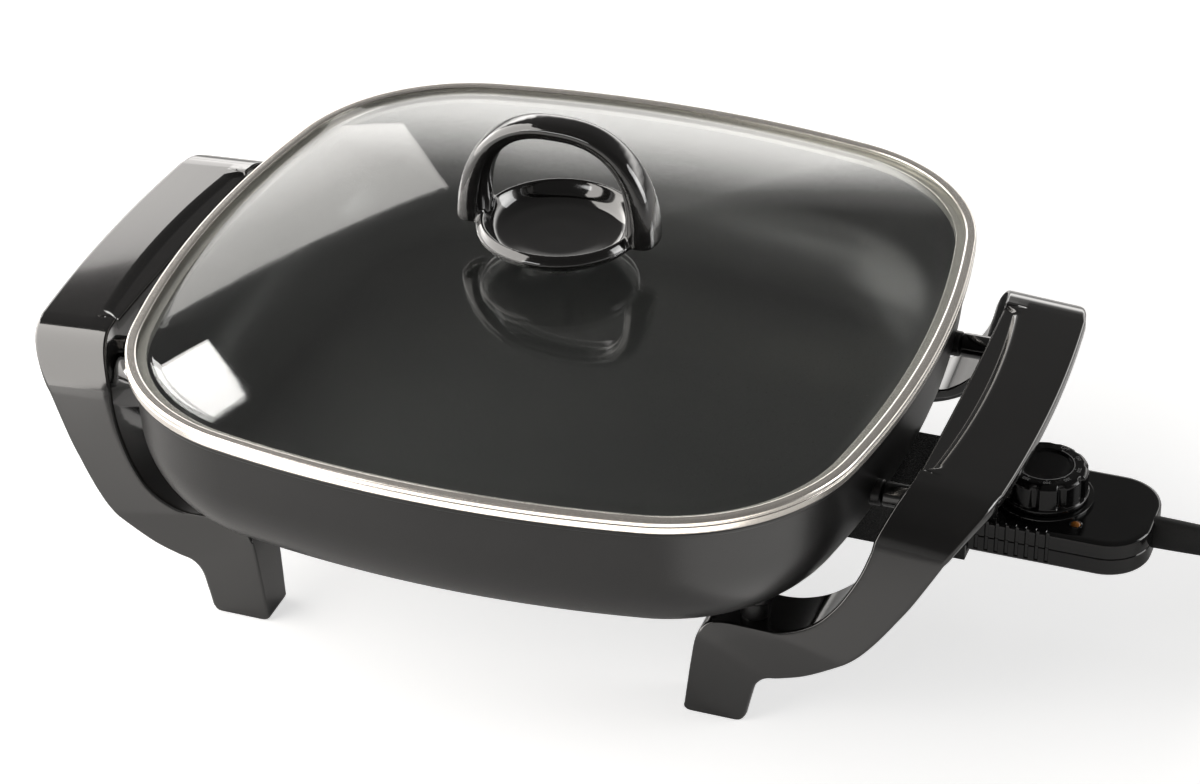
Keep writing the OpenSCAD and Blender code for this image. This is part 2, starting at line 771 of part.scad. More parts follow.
// Split sleeves that take the terminal pins
module socket_contacts() {
  color([0.8, 0.66, 0.35]) for (s = [-1, 1]) difference() {
    along_x(nose_x + 1, case_x0 + 4, s * pin_gap / 2, pin_z, pin_d + 3.2);
    along_x(nose_x, half + 10, s * pin_gap / 2, pin_z, pin_d + 2 * fit);
  }
}

frame_z = case_z + case_t;

module thermostat_frame() {
  color([0.7, 0.7, 0.68]) translate([case_x0 + 8.2, -5.5, frame_z]) cube([26, 11, 1]);
}

// Bent spring that carries the moving contact
module contact_arm() {
  color([0.75, 0.6, 0.35]) translate([case_x0 + 11, 0, frame_z + 1]) rotate([90, 0, 0])
    translate([0, 0, -3]) linear_extrude(6) polygon([
      [0, 0], [5, 0], [5, 1.6], [22, 2.2], [22, 2.8], [4, 2.4], [4, 1], [0, 1]
    ]);
}

module contact_points() {
  color([0.85, 0.85, 0.82]) translate([case_x0 + 31, 0, frame_z + 1]) cylinder(d = 3, h = 2.1);
}

// Shaft with a cam plate that presses on the contact arm
module dial_shaft() {
  color([0.75, 0.75, 0.72]) difference() {
    union() {
      translate([dial_x, 0, case_top - 6.4]) cylinder(d = shaft_d, h = 6.4 + ledge_h + dial_h - 4.6);
      translate([dial_x + 1.5, 0, case_top - 6.2]) cylinder(d = 12, h = 1.4);
    }
    translate([dial_x - 5, shaft_d / 2 - 1, case_top + ledge_h]) cube([10, 4, dial_h]);
  }
}

module dial_knob() {
  z = case_top + ledge_h + gap;
  r = dial_d / 2;
  color([0.04, 0.04, 0.045]) difference() {
    translate([dial_x, 0, z]) rotate_extrude() polygon([
      [0, 0], [r, 0], [r, 1.6], [r - 0.6, 2.2], [r - 0.9, dial_h - 1.6], [r - 2, dial_h - 0.4],
      [r - 3.2, dial_h], [r - 6.8, dial_h], [r - 7.3, dial_h - 0.8], [0, dial_h - 0.8]
    ]);
    for (i = [0:flutes - 1]) rotate_about(dial_x, 360 * (i + 0.5) / flutes)
      translate([r + 1.3, 0, z + 2.2]) cylinder(d = 4.6, h = dial_h);
    difference() {
      translate([dial_x, 0, z - 1]) cylinder(d = shaft_d + 0.04, h = dial_h - 3.4);
      translate([dial_x - 5, shaft_d / 2 - 0.98, z - 2]) cube([10, 4, dial_h]);
    }
    rotate_about(dial_x, 40) translate([r - 6, -0.5, z + dial_h - 0.6]) cube([2, 1, 2]);
  }
}

module rotate_about(x, a) {
  translate([x, 0, 0]) rotate(a) children();
}

module indicator_lens() {
  color([0.85, 0.42, 0.08]) union() {
    translate([lens_x, lens_y, case_top - 2.6]) cylinder(d = lens_d, h = 2.9);
    translate([lens_x, lens_y, case_top - 2.8]) cylinder(d = lens_d + 1.6, h = 0.8);
  }
}

module neon_lamp() {
  color([0.9, 0.6, 0.35]) along_x(lens_x - 5, lens_x + 5, lens_y, case_top - 5, 3.8);
}

// Two leads from the sockets past the frame to the strain relief
module lead_wires() {
  z = case_z + 6.6;
  color([0.9, 0.9, 0.86]) for (s = [-1, 1]) {
    route = [
      [case_x0 + 5.4, s * 14, z], [case_x0 + 14, s * 12.4, z], [case_x0 + 26, s * 11, z],
      [case_x1 - 22, s * 10.4, z], [case_x1 - 13, s * 7, z], [case_x1 - 6, s * 2.2, z]
    ];
    tube(route, 2.2, [1, 0, 0], heading(route, 5), 10);
  }
}

module probe_screws() {
  color([0.6, 0.6, 0.6]) for (p = screw_places) translate([p.x, p.y, case_z + 0.2]) {
    cylinder(d = 4.4, h = 1.7);
    translate([0, 0, 1]) cylinder(d = 2.1, h = lower_h + 1.4);
  }
}

// ---------- cord ----------

// Tapered oval sleeve with a collar held inside the case
module strain_relief() {
  color([0.05, 0.05, 0.055]) difference() {
    union() {
      hull() {
        translate([case_x1, 0, cord_z]) rotate([0, 90, 0]) scale_oval(13.2, 8.4, 1);
        translate([relief_x - 1, 0, cord_z]) rotate([0, 90, 0]) scale_oval(cord_d + 2.4, cord_d + 1.6, 1);
      }
      translate([case_x1 - case_t - 0.6, -3.9, cord_z - 4.2]) cube([case_t + 1, 7.8, 8.4]);
      translate([case_x1 - case_t - 2.4, -5.4, cord_z - 4.4]) cube([2, 10.8, 8.8]);
    }
    along_x(case_x1 - 6, relief_x - 12, 0, cord_z, 4.2);
    along_x(relief_x - 14, relief_x + 1, 0, cord_z, cord_d + 2 * fit);
  }
}

// A flat oval plate of height a and width b
module scale_oval(a, b, h) {
  linear_extrude(h) union() {
    square([a - b, b], center = true);
    for (s = [-1, 1]) translate([s * (a - b) / 2, 0]) circle(d = b);
  }
}

// Route from the sleeve down to the top turn of the coil
drop = [
  [-14, 0, 0], [-6, 0, 0], [0, 0, 0], [5, 0, -0.2], [10, 0, -0.8], [16, 0, -2.4], [22, 0, -5.2],
  [27.6, 0, -8.8], [33.4, 0, -13.2], [39.6, 0, -17.6], [46, 0, -21.2], [52.6, 0, -23.9],
  [59.4, 0, -25.7], [66, 0, -26.4]
];
drop_h = cord_z - coil_z;
lead_route = [for (p = drop) [relief_x + p.x, 0, cord_z + p.z * drop_h / 26.4]];

// The first part of the top turn, which sinks from the top of the coil into it
function on_turn(a, sink) = [
  coil_x + coil_r * sin(a), coil_r - coil_r * cos(a), coil_z - coil_pitch * sink
];
onto_coil = [on_turn(15, 0.08), on_turn(32, 0.27), on_turn(49, 0.52), on_turn(64, 0.75)];

// The way out from the lowest turn to the plug
way_out = [
  [0, 0], [8, -0.8], [16, -3.2], [24, -6.6], [plug_x - coil_x, plug_y]
];
tail_route = [for (i = [0:4]) [coil_x + way_out[i].x, way_out[i].y,
  cord_d / 2 + coil_base * max(0, 1 - i / 2)]];

module cord() {
  color([0.05, 0.05, 0.055]) tube(concat(lead_route, onto_coil), cord_d, [1, 0, 0], [cos(70), sin(70), 0]);
}

// Two turns, one on the other
module cord_coil() {
  top = coil_pitch;
  color([0.05, 0.05, 0.055]) translate([coil_x, coil_r, coil_base + cord_d / 2]) rotate_extrude() {
    for (z = [0, top]) translate([coil_r, z]) circle(d = cord_d);
    translate([coil_r - cord_d / 2, 0]) square([cord_d, top]);
  }
}

module cord_tail() {
  color([0.05, 0.05, 0.055]) tube(tail_route, cord_d, [1, 0, 0], [cos(plug_a), sin(plug_a), 0]);
}

// Flat tie round the turns, with the coil lying on its lower side
module cord_tie() {
  low = coil_base - gap;
  top = coil_base + cord_d + coil_pitch + gap;
  w = cord_d + 2 * gap;
  color([0.1, 0.1, 0.1]) translate([coil_x, 2 * coil_r, 0]) difference() {
    translate([-2.5, -w / 2 - tie_t, low - tie_t]) cube([5, w + 2 * tie_t, top - low + 2 * tie_t]);
    translate([-3, -w / 2, low]) cube([6, w, top - low]);
  }
}

module at_plug() {
  translate([plug_x, plug_y, 0]) rotate(plug_a) children();
}

module plug_body() {
  color([0.05, 0.05, 0.055]) at_plug() union() {
    translate([0, -6, 0]) cube([8, 12, 10]);
    translate([7, -12, 0]) cube([plug_l - 7, 24, 15]);
  }
}

module plug_blades() {
  color([0.8, 0.75, 0.55]) at_plug() for (s = [-1, 1])
    translate([plug_l, s * 6.35 - 0.75, 4.3]) cube([17, 1.5, 6.35]);
}

place() pan();
place() heating_element();
place() terminal_pins();
place() terminal_bushings();
place() terminal_shroud();
place() shroud_screws();
place() right_handle();
place() left_handle();
place() right_handle_screws();
place() left_handle_screws();
place() lid_glass();
place() lid_rim();
place() lid_knob();
place() knob_washers();
place() knob_screw();
place() probe_lower_case();
place() probe_upper_case();
place() sensor_rod();
place() socket_contacts();
place() thermostat_frame();
place() contact_arm();
place() contact_points();
place() dial_shaft();
place() dial_knob();
place() indicator_lens();
place() neon_lamp();
place() lead_wires();
place() probe_screws();
place() strain_relief();
place() cord();
place() cord_coil();
place() cord_tail();
place() cord_tie();
place() plug_body();
place() plug_blades();
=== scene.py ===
"""Looks of the electric skillet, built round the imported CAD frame.

Sizes are in millimetres in the skillet's own frame, with x = 0 in the middle of the pan.
row() turns them into metres in the row frame. Lamps are placed in metres in the row frame.
"""

import math

import bmesh
import bpy
from mathutils import Matrix, Vector


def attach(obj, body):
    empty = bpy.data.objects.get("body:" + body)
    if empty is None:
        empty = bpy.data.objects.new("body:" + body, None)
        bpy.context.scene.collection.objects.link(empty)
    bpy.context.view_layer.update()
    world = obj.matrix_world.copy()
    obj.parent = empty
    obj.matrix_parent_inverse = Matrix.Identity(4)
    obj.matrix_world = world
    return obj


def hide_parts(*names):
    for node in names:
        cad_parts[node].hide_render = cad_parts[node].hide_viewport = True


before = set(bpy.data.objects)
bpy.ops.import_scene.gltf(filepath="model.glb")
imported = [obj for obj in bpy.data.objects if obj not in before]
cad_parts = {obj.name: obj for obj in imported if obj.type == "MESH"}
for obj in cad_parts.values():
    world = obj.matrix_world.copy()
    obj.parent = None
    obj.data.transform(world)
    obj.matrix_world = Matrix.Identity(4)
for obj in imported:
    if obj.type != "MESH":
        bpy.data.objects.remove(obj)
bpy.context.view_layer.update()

SHIFT = 40.85   # x of the row frame's middle, seen from the pan's middle
HALF = 150.0    # half of the lid band's width across its flats
WELD = 2e-6     # vertices nearer than this, in metres, are one


def row(p):
    return ((p[0] - SHIFT) / 1000, p[1] / 1000, p[2] / 1000)


# ---------- materials ----------


class Nodes:
    """Short calls for a material's node tree."""

    def __init__(self, name):
        self.mat = bpy.data.materials.new(name)
        self.mat.use_nodes = True
        self.tree = self.mat.node_tree
        self.tree.nodes.clear()
        self.out = self.add("ShaderNodeOutputMaterial")

    def add(self, kind, **values):
        node = self.tree.nodes.new(kind)
        for key, value in values.items():
            setattr(node, key, value)
        return node

    def link(self, a, b):
        self.tree.links.new(a, b)

    def coords(self, stretch=(1, 1, 1)):
        place = self.add("ShaderNodeTexCoord")
        mapping = self.add("ShaderNodeMapping")
        mapping.inputs["Scale"].default_value = stretch
        self.link(place.outputs["Object"], mapping.inputs["Vector"])
        return mapping.outputs["Vector"]

    def noise(self, where, scale, detail=4.0):
        node = self.add("ShaderNodeTexNoise")
        node.inputs["Scale"].default_value = scale
        node.inputs["Detail"].default_value = detail
        self.link(where, node.inputs["Vector"])
        return node.outputs["Fac"]

    def spread(self, value, low, high, start=0.3, end=0.7):
        node = self.add("ShaderNodeMapRange")
        node.inputs["From Min"].default_value = start
        node.inputs["From Max"].default_value = end
        node.inputs["To Min"].default_value = low
        node.inputs["To Max"].default_value = high
        self.link(value, node.inputs["Value"])
        return node.outputs["Result"]

    def shade(self, value, dark, light):
        node = self.add("ShaderNodeMix", data_type="RGBA")
        self.link(value, node.inputs["Factor"])
        node.inputs["A"].default_value = (*dark, 1)
        node.inputs["B"].default_value = (*light, 1)
        return node.outputs["Result"]

    def bump(self, height, distance, strength=1.0):
        node = self.add("ShaderNodeBump")
        node.inputs["Distance"].default_value = distance
        node.inputs["Strength"].default_value = strength
        self.link(height, node.inputs["Height"])
        return node.outputs["Normal"]


def surface(name, dark, light, rough, grain=900, depth=0.00001, stretch=(1, 1, 1), metal=0.0,
            spec=0.5, patch=35, **sockets):
    """A moulded, cast or rolled surface: blotches in its colour and gloss, and a fine grain."""
    n = Nodes(name)
    s = n.add("ShaderNodeBsdfPrincipled")
    where = n.coords(stretch)
    blotch = n.noise(where, patch, 3)
    fine = n.noise(where, grain, 3)
    n.link(n.shade(n.spread(blotch, 0, 1), dark, light), s.inputs["Base Color"])
    n.link(n.spread(fine, rough[0], rough[1]), s.inputs["Roughness"])
    n.link(n.bump(fine, depth), s.inputs["Normal"])
    s.inputs["Metallic"].default_value = metal
    s.inputs["Specular IOR Level"].default_value = spec
    for key, value in sockets.items():
        s.inputs[key.replace("_", " ")].default_value = value
    n.link(s.outputs["BSDF"], n.out.inputs["Surface"])
    return n.mat


def glass_material():
    """Clear glass that lets shadow rays through."""
    n = Nodes("lid_glass_clear")
    s = n.add("ShaderNodeBsdfPrincipled")
    smear = n.noise(n.coords(), 14, 3)
    tint = n.shade(n.spread(smear, 0, 1), (0.94, 0.965, 0.95), (0.97, 0.985, 0.975))
    n.link(tint, s.inputs["Base Color"])
    n.link(n.spread(smear, 0.0, 0.035), s.inputs["Roughness"])
    s.inputs["Transmission Weight"].default_value = 1.0
    s.inputs["IOR"].default_value = 1.5
    clear = n.add("ShaderNodeBsdfTransparent")
    clear.inputs["Color"].default_value = (0.93, 0.95, 0.94, 1)
    path = n.add("ShaderNodeLightPath")
    mix = n.add("ShaderNodeMixShader")
    n.link(path.outputs["Is Shadow Ray"], mix.inputs["Fac"])
    n.link(s.outputs["BSDF"], mix.inputs[1])
    n.link(clear.outputs["BSDF"], mix.inputs[2])
    n.link(mix.outputs["Shader"], n.out.inputs["Surface"])
    return n.mat


PHENOLIC = surface("phenolic_gloss", (0.0042, 0.0039, 0.0037), (0.0065, 0.006, 0.0057), (0.07, 0.12),
                   grain=1500, depth=0.000004, spec=0.8, Coat_Weight=1.0, Coat_Roughness=0.05)
PROBE = surface("probe_gloss", (0.005, 0.005, 0.0052), (0.008, 0.008, 0.0082), (0.08, 0.14),
                grain=1700, depth=0.000004, spec=0.65)
DIAL = surface("dial_gloss", (0.0035, 0.0034, 0.0036), (0.0058, 0.0056, 0.006), (0.11, 0.19),
               grain=1900, depth=0.000005, spec=0.5)
SHROUD = surface("shroud_satin", (0.006, 0.006, 0.006), (0.011, 0.011, 0.011), (0.22, 0.32),
                 grain=1400, depth=0.000008)
COATING = surface("pan_coating", (0.009, 0.009, 0.0095), (0.014, 0.0138, 0.0138), (0.27, 0.36),
                  grain=2600, depth=0.00002, spec=0.7, patch=20)
STEEL = surface("band_steel_polished", (0.80, 0.76, 0.71), (0.88, 0.84, 0.79), (0.16, 0.26),
                grain=900, depth=0.000004, stretch=(1, 1, 9), metal=0.8)
BLADE = surface("plug_brass", (0.66, 0.55, 0.30), (0.76, 0.66, 0.42), (0.18, 0.30), metal=1.0)
RUBBER = surface("cord_rubber_matte", (0.0045, 0.0046, 0.0046), (0.0085, 0.0086, 0.0086), (0.52, 0.68),
                 grain=2400, depth=0.00003)
TIE = surface("tie_nylon", (0.02, 0.02, 0.02), (0.03, 0.03, 0.03), (0.35, 0.5))
GLASS = glass_material()
PRINT = surface("dial_print", (0.42, 0.42, 0.42), (0.52, 0.52, 0.52), (0.5, 0.62), depth=0.00001)
AMBER = surface("amber_plastic", (0.52, 0.16, 0.015), (0.72, 0.27, 0.04), (0.12, 0.22), patch=500,
                Transmission_Weight=0.35)

# nodes whose CAD shape stays
KEPT = {
    "heating_element": surface("element_sheath", (0.16, 0.15, 0.14), (0.30, 0.28, 0.26), (0.3, 0.5),
                               depth=0.00003, metal=1.0),
    "terminal_bushings": surface("ceramic", (0.78, 0.75, 0.68), (0.88, 0.86, 0.80), (0.25, 0.4)),
    "neon_lamp": surface("lamp_glass", (0.75, 0.42, 0.22), (0.9, 0.6, 0.38), (0.05, 0.12),
                         Transmission_Weight=0.5),
    "lead_wires": surface("wire_sleeve", (0.72, 0.71, 0.66), (0.84, 0.83, 0.78), (0.5, 0.7), grain=2600,
                          depth=0.00005),
}
for part, finish in (("terminal_pins", (0.62, 0.54, 0.33)), ("socket_contacts", (0.66, 0.55, 0.30)),
                     ("contact_arm", (0.60, 0.50, 0.28)), ("contact_points", (0.72, 0.70, 0.64)),
                     ("sensor_rod", (0.58, 0.57, 0.55)), ("thermostat_frame", (0.52, 0.52, 0.50)),
                     ("dial_shaft", (0.56, 0.55, 0.53)), ("knob_washers", (0.55, 0.55, 0.54)),
                     ("knob_screw", (0.58, 0.58, 0.57)), ("shroud_screws", (0.5, 0.5, 0.5)),
                     ("probe_screws", (0.5, 0.5, 0.5)), ("right_handle_screws", (0.5, 0.5, 0.5)),
                     ("left_handle_screws", (0.5, 0.5, 0.5))):
    KEPT[part] = surface(part + "_metal", finish, tuple(min(1, 1.14 * c) for c in finish), (0.2, 0.36),
                         stretch=(4, 1, 1), metal=1.0)
for part, finish in KEPT.items():
    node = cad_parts[part]
    node.data.materials.clear()
    node.data.materials.append(finish)

# ---------- mesh helpers ----------


def piece(name, verts, faces, finish, slot, body, hides=(), crease=38, mirror=False):
    """A mesh piece that rides on a body and stands for the CAD nodes in hides."""
    mesh = bpy.data.meshes.new(name)
    if mirror:
        verts = [(-p[0], p[1], p[2]) for p in verts]
    mesh.from_pydata([row(p) for p in verts], [], faces)
    obj = bpy.data.objects.new(name, mesh)
    bpy.context.scene.collection.objects.link(obj)
    return dress(obj, finish, body, hides, crease)


def dress(obj, finish, body, hides=(), crease=38):
    """Welds and shades a mesh, gives it its material and puts it on its body."""
    bm = bmesh.new()
    bm.from_mesh(obj.data)
    bmesh.ops.remove_doubles(bm, verts=bm.verts, dist=WELD)
    bmesh.ops.dissolve_degenerate(bm, edges=bm.edges, dist=WELD)
    bmesh.ops.recalc_face_normals(bm, faces=bm.faces)
    for f in bm.faces:
        f.smooth = True
    for e in bm.edges:
        e.smooth = not (len(e.link_faces) == 2 and e.calc_face_angle(0) > math.radians(crease))
    bm.to_mesh(obj.data)
    bm.free()
    obj.data.materials.clear()
    obj.data.materials.append(finish)
    flat = obj.modifiers.new("flat_faces_stay_flat", "WEIGHTED_NORMAL")
    flat.keep_sharp = True
    flat.weight = 80
    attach(obj, body)
    if hides:
        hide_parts(*hides)
    return obj


def rounded(points, radii, n=4, closed=True):
    """A polyline with its corners eased by the given radii. Points have two or three numbers."""
    pts = [Vector(p) for p in points]
    out = []
    for i, p in enumerate(pts):
        r = radii[i] if hasattr(radii, "__len__") else radii
        ends = not closed and i in (0, len(pts) - 1)
        if ends or not r:
            out.append(p)
            continue
        a, b = pts[i - 1] - p, pts[(i + 1) % len(pts)] - p
        p0 = p + a.normalized() * min(r, 0.48 * a.length)
        p1 = p + b.normalized() * min(r, 0.48 * b.length)
        for k in range(n + 1):
            t = k / n
            out.append(p0 * (1 - t) ** 2 + p * 2 * t * (1 - t) + p1 * t * t)
    return out


def skin(rings, loop=False, caps=True):
    """Vertices and faces of a surface through closed rings of equal length."""
    n, m = len(rings[0]), len(rings)
    verts = [tuple(p) for r in rings for p in r]
    faces = []
    for j in range(m if loop else m - 1):
        k = (j + 1) % m
        for i in range(n):
            h = (i + 1) % n
            faces.append((j * n + i, j * n + h, k * n + h, k * n + i))
    if caps and not loop:
        faces.append(tuple(range(n - 1, -1, -1)))
        faces.append(tuple((m - 1) * n + i for i in range(n)))
    return verts, faces


def lathe(profile, centre, axis="z", n=64):
    """A turned solid: profile is (radius, distance along the axis) from one end to the other."""
    rings = []
    for r, h in profile:
        ring = []
        for k in range(n):
            a = 2 * math.pi * k / n
            u, v = r * math.cos(a), r * math.sin(a)
            ring.append((centre[0] + h, centre[1] + u, centre[2] + v) if axis == "x"
                        else (centre[0] + u, centre[1] + v, centre[2] + h))
        rings.append(ring)
    return skin(rings)


def joined(*parts):
    """Several vertex and face lists as one."""
    verts, faces = [], []
    for v, f in parts:
        base = len(verts)
        verts += v
        faces += [tuple(base + i for i in face) for face in f]
    return verts, faces


def bar(x0, x1, y0, y1, z0, z1, r=0.8, n=3):
    """A block along x with all its edges eased."""
    def ring(x, inset):
        return [(x, p[0], p[1]) for p in rounded(
            [(y0 + inset, z0 + inset), (y1 - inset, z0 + inset), (y1 - inset, z1 - inset),
             (y0 + inset, z1 - inset)], max(r - inset, 0.05), n)]
    steps = [0, 0.3, 1]
    rings = [ring(x0 + r * (1 - math.sqrt(1 - (1 - t) ** 2)), r * (1 - t)) for t in steps]
    rings += [ring(x1 - r * (1 - math.sqrt(1 - (1 - t) ** 2)), r * (1 - t)) for t in reversed(steps)]
    return skin(rings)


# ---------- the rounded square ----------

SIDE_R, CORNER_R = 440.0, 77.0
RUN = SIDE_R - HALF
BOW = SIDE_R - CORNER_R
CORNER_C = (math.sqrt(2 * BOW * BOW - RUN * RUN) - RUN) / 2
CORNER_A = math.atan2(CORNER_C, RUN + CORNER_C)


def outline(d, z, scale=1.0, side_n=9, corner_n=22):
    """The pan's outline moved in by d from the band's edge."""
    quarter = []
    for i in range(side_n):
        a = CORNER_A * i / side_n
        quarter.append(((SIDE_R - d) * math.cos(a) - RUN, (SIDE_R - d) * math.sin(a)))
    for i in range(corner_n + 1):
        a = CORNER_A + (math.pi / 2 - 2 * CORNER_A) * i / corner_n
        quarter.append((CORNER_C + (CORNER_R - d) * math.cos(a), CORNER_C + (CORNER_R - d) * math.sin(a)))
    for i in range(side_n - 1, 0, -1):
        a = CORNER_A * i / side_n
        quarter.append(((SIDE_R - d) * math.sin(a), (SIDE_R - d) * math.cos(a) - RUN))
    ring = []
    for c, s in ((1, 0), (0, 1), (-1, 0), (0, -1)):
        ring += [((x * c - y * s) * scale, (x * s + y * c) * scale, z) for x, y in quarter]
    return ring


# ---------- sizes shared by the pan and the handles ----------

RIM_Z, BASE_Z = 105.85, 50.0
GRIP_OUT, GRIP_W, GRIP_Z, GRIP_DROP = 194.5, 34.0, 99.6, 3.8
GRIP_IN = GRIP_OUT - GRIP_W
LEG_Y = 100.5
FLANGE_Z = BASE_Z - 8.2
PEG_Z, PEG_FACE, PEG_D, PEG_Y = GRIP_Z - 19, HALF - 4.5, 9.5, 54.0
BOSS_X, BOSS_Y = HALF - 42, LEG_Y - 11.5

# ---------- pan ----------

WALL_T, FLOOR_T = 3.0, 4.0
CURVE_W, CURVE_H, WALL_TOP, DRAFT = 34.0, 36.0, 2.8, 0.06
CURVE_TOP = BASE_Z + CURVE_H
WALL_LOW = WALL_TOP + DRAFT * (RIM_Z - CURVE_TOP)
PIN_Z, PIN_GAP, PIN_ROOM = 46.4, 28.0, 3.3
ELEMENT_D, LOOP_HALF, LOOP_R, TAIL_X = 6.4, 78, 28, 111
RIDGE_W, RIDGE_Z = ELEMENT_D + 5, PIN_Z - ELEMENT_D / 2 + 1
ROD_D, WELL_X, WELL_W = 6.2, 55, 6
POST_X, POST_Y, POST_R, POST_Z = 128, 7.4, 2.8, 38.5


def curve(a, wide, high, start):
    """A point of the bowl's quarter round, as an inset from the band's edge and a height."""
    return (start + wide * (1 - math.cos(a)), CURVE_TOP - high * math.sin(a))


def make_pan():
    make_pan_wall()
    fittings = leg_bosses() + [element_ridge()] + ridge_tails() + shroud_posts()
    piece("pan_fittings", *joined(*fittings), COATING, "pan", "base", crease=45)


def make_pan_wall():
    steps = 18
    outside = [curve(math.pi / 2 * i / steps, CURVE_W, CURVE_H, WALL_LOW) for i in range(steps, -1, -1)]
    inside = [curve(math.pi / 2 * i / steps, CURVE_W - WALL_T, CURVE_H - FLOOR_T, WALL_LOW + WALL_T)
              for i in range(steps + 1)]
    lip = rounded([(WALL_TOP, RIM_Z - 2.8), (1.3, RIM_Z - 1.9), (1.25, RIM_Z - 0.5), (1.9, RIM_Z),
                   (WALL_TOP + WALL_T, RIM_Z), (WALL_TOP + WALL_T + 0.4, RIM_Z - 1.2)],
                  [1.0, 0.5, 0.5, 0.4, 0.7, 0.5], 4, closed=False)
    middle = [(WALL_LOW - DRAFT * t, CURVE_TOP + t) for t in (4, 9)]
    rings = [outline(d, z) for d, z in outside + middle + [tuple(p) for p in lip]
             + [(d + WALL_T, z) for d, z in reversed(middle)] + inside]
    piece("pan_wall", *skin(rings), COATING, "pan", "base", ["pan"], crease=50)


def leg_bosses():
    """The bosses that carry the legs, and the pegs that meet the grips."""
    boss = [(3.4, FLANGE_Z), (5.1, FLANGE_Z), (5.5, FLANGE_Z + 0.4), (5.5, BASE_Z - 1.6),
            (5.9, BASE_Z - 0.7), (6.8, BASE_Z + 0.1), (6.8, BASE_Z + 1.5)]
    r = PEG_D / 2 + 0.25
    peg = [(r, -4.5), (r, -0.9), (r - 0.25, -0.35), (r - 0.9, 0), (2.2, 0)]
    parts = []
    for sx in (-1, 1):
        for sy in (-1, 1):
            parts.append(lathe(boss, (sx * BOSS_X, sy * BOSS_Y, 0), n=40))
            parts.append(lathe([(q, sx * (PEG_FACE + h)) for q, h in peg], (0, sy * PEG_Y, PEG_Z), "x", 40))
    return parts


def loop_ring(grow, z):
    h, r = LOOP_HALF + grow, LOOP_R + grow
    ring = []
    for k, (c, s) in enumerate(((1, 1), (-1, 1), (-1, -1), (1, -1))):
        for i in range(13):
            a = math.pi / 2 * (k + i / 12)
            ring.append((c * (h - r) + r * math.cos(a), s * (h - r) + r * math.sin(a), z))
    return ring


def element_ridge():
    """The ridge round the floor's underside, with the element's groove in it."""
    w, low, groove = RIDGE_W / 2, RIDGE_Z, ELEMENT_D / 2 + 0.2
    half = [(w + 0.8, BASE_Z + 0.5), (w, BASE_Z - 0.9), (w, low + 0.7), (w - 0.7, low), (groove, low),
            (groove, PIN_Z + 1)]
    profile = [(-g, z) for g, z in half] + half[::-1]
    return skin([loop_ring(g, z) for g, z in profile], loop=True)


def ridge_tails():
    """Walls beside the element's two tails, and the sensor well between them."""
    parts = []
    top = BASE_Z + 0.5
    for s in (-1, 1):
        y = s * PIN_GAP / 2
        for y0, y1 in ((-RIDGE_W / 2, -PIN_ROOM), (PIN_ROOM, RIDGE_W / 2)):
            parts.append(bar(LOOP_HALF - 3, TAIL_X, y + y0, y + y1, RIDGE_Z, top, 0.5))
    well_low, bore = PIN_Z - ROD_D / 2 - 2, ROD_D / 2 + 0.15
    for y0, y1, z1 in ((-WELL_W, -bore, top), (bore, WELL_W, top), (-WELL_W, WELL_W, PIN_Z - PIN_ROOM)):
        parts.append(bar(WELL_X, TAIL_X, y0, y1, well_low, z1, 0.6))
    return parts


def shroud_posts():
    post = [(1.2, POST_Z), (POST_R - 0.3, POST_Z), (POST_R, POST_Z + 0.4), (POST_R, 56)]
    return [lathe(post, (POST_X, s * POST_Y, 0), n=32) for s in (-1, 1)]


# ---------- handles ----------

FOOT_X, FOOT_W, FOOT_R = 84.0, 23.5, 1.7
SKIN_T, FLANGE_T, SKIRT_H = 5.0, 4.0, 25.4
LEAN, LEAN_Z, BEND_R, GRIP_HALF, STEP_Y = 0.3, 35.0, 23.0, 70.0, 56.0
LEAN_A = math.atan(LEAN)
BEND_CUT = BEND_R * math.tan((math.pi / 2 - LEAN_A) / 2)
GRIP_IN_BOW, GRIP_OUT_BOW, GRIP_CROWN = 0.8, 3.6, 1.5
STEP_W, STEP_DEEP, STEP_IN, STEP_BOW, STEP_RUNOUT = 2.8, 2.8, 8.9, 6, 1.151
LEG_TOP_IN, LEG_TOP_OUT, SKIRT_Y, SKIRT_R, SKIRT_PULL = 67, 71.5, 26, 3.5, 0.88
# the leg seen from the front: x and z of its inner edge, then of its outer edge, from the foot's corner
EDGES = [
    (0, 0, 23.5, 0), (1.4, 12, 25.7, 10), (2.9, 24, 27.7, 17), (4.6, 34, 31.5, 21), (8, 40, 37.5, 22.6),
    (14, 41.8, 47, 26), (24, 41.8, 57.5, 32), (34, 41.8, 65, 37.2), (42, 44, 70.5, 42.8),
    (49, 48, 75.1, 48.6), (54.4, 53.6, 79.3, 54.4), (58.8, 60, 83.5, 60.4), (63.4, 69, 88.9, 69.4),
    (66.4, 78, 93.3, 77),
]
DRAWN_FLANGE, DRAWN_GRIP = 41.8, 99.6


def front_y(z):
    return -LEG_Y + max(0, z - LEAN_Z) * LEAN


def grip_in_x(y):
    return GRIP_IN - GRIP_IN_BOW * (y / GRIP_HALF) ** 2


def grip_out_x(y):
    return GRIP_OUT - GRIP_OUT_BOW * (y / GRIP_HALF) ** 2


def grip_in_z(y):
    return GRIP_Z - GRIP_CROWN * (y / GRIP_HALF) ** 2


GRIP_OUT_Z = GRIP_Z - GRIP_DROP
GRIP_END_Z = grip_in_z(GRIP_HALF)
SKIRT_Z = GRIP_END_Z - SKIRT_H


def bend_point(h, f):
    """A point f of the way round the bend between leg and grip, for an edge that ends at height h."""
    cy, cz = front_y(h) + BEND_CUT, h - BEND_R
    a = math.pi - LEAN_A - (math.pi / 2 - LEAN_A) * f
    return cy + BEND_R * math.cos(a), cz + BEND_R * math.sin(a)


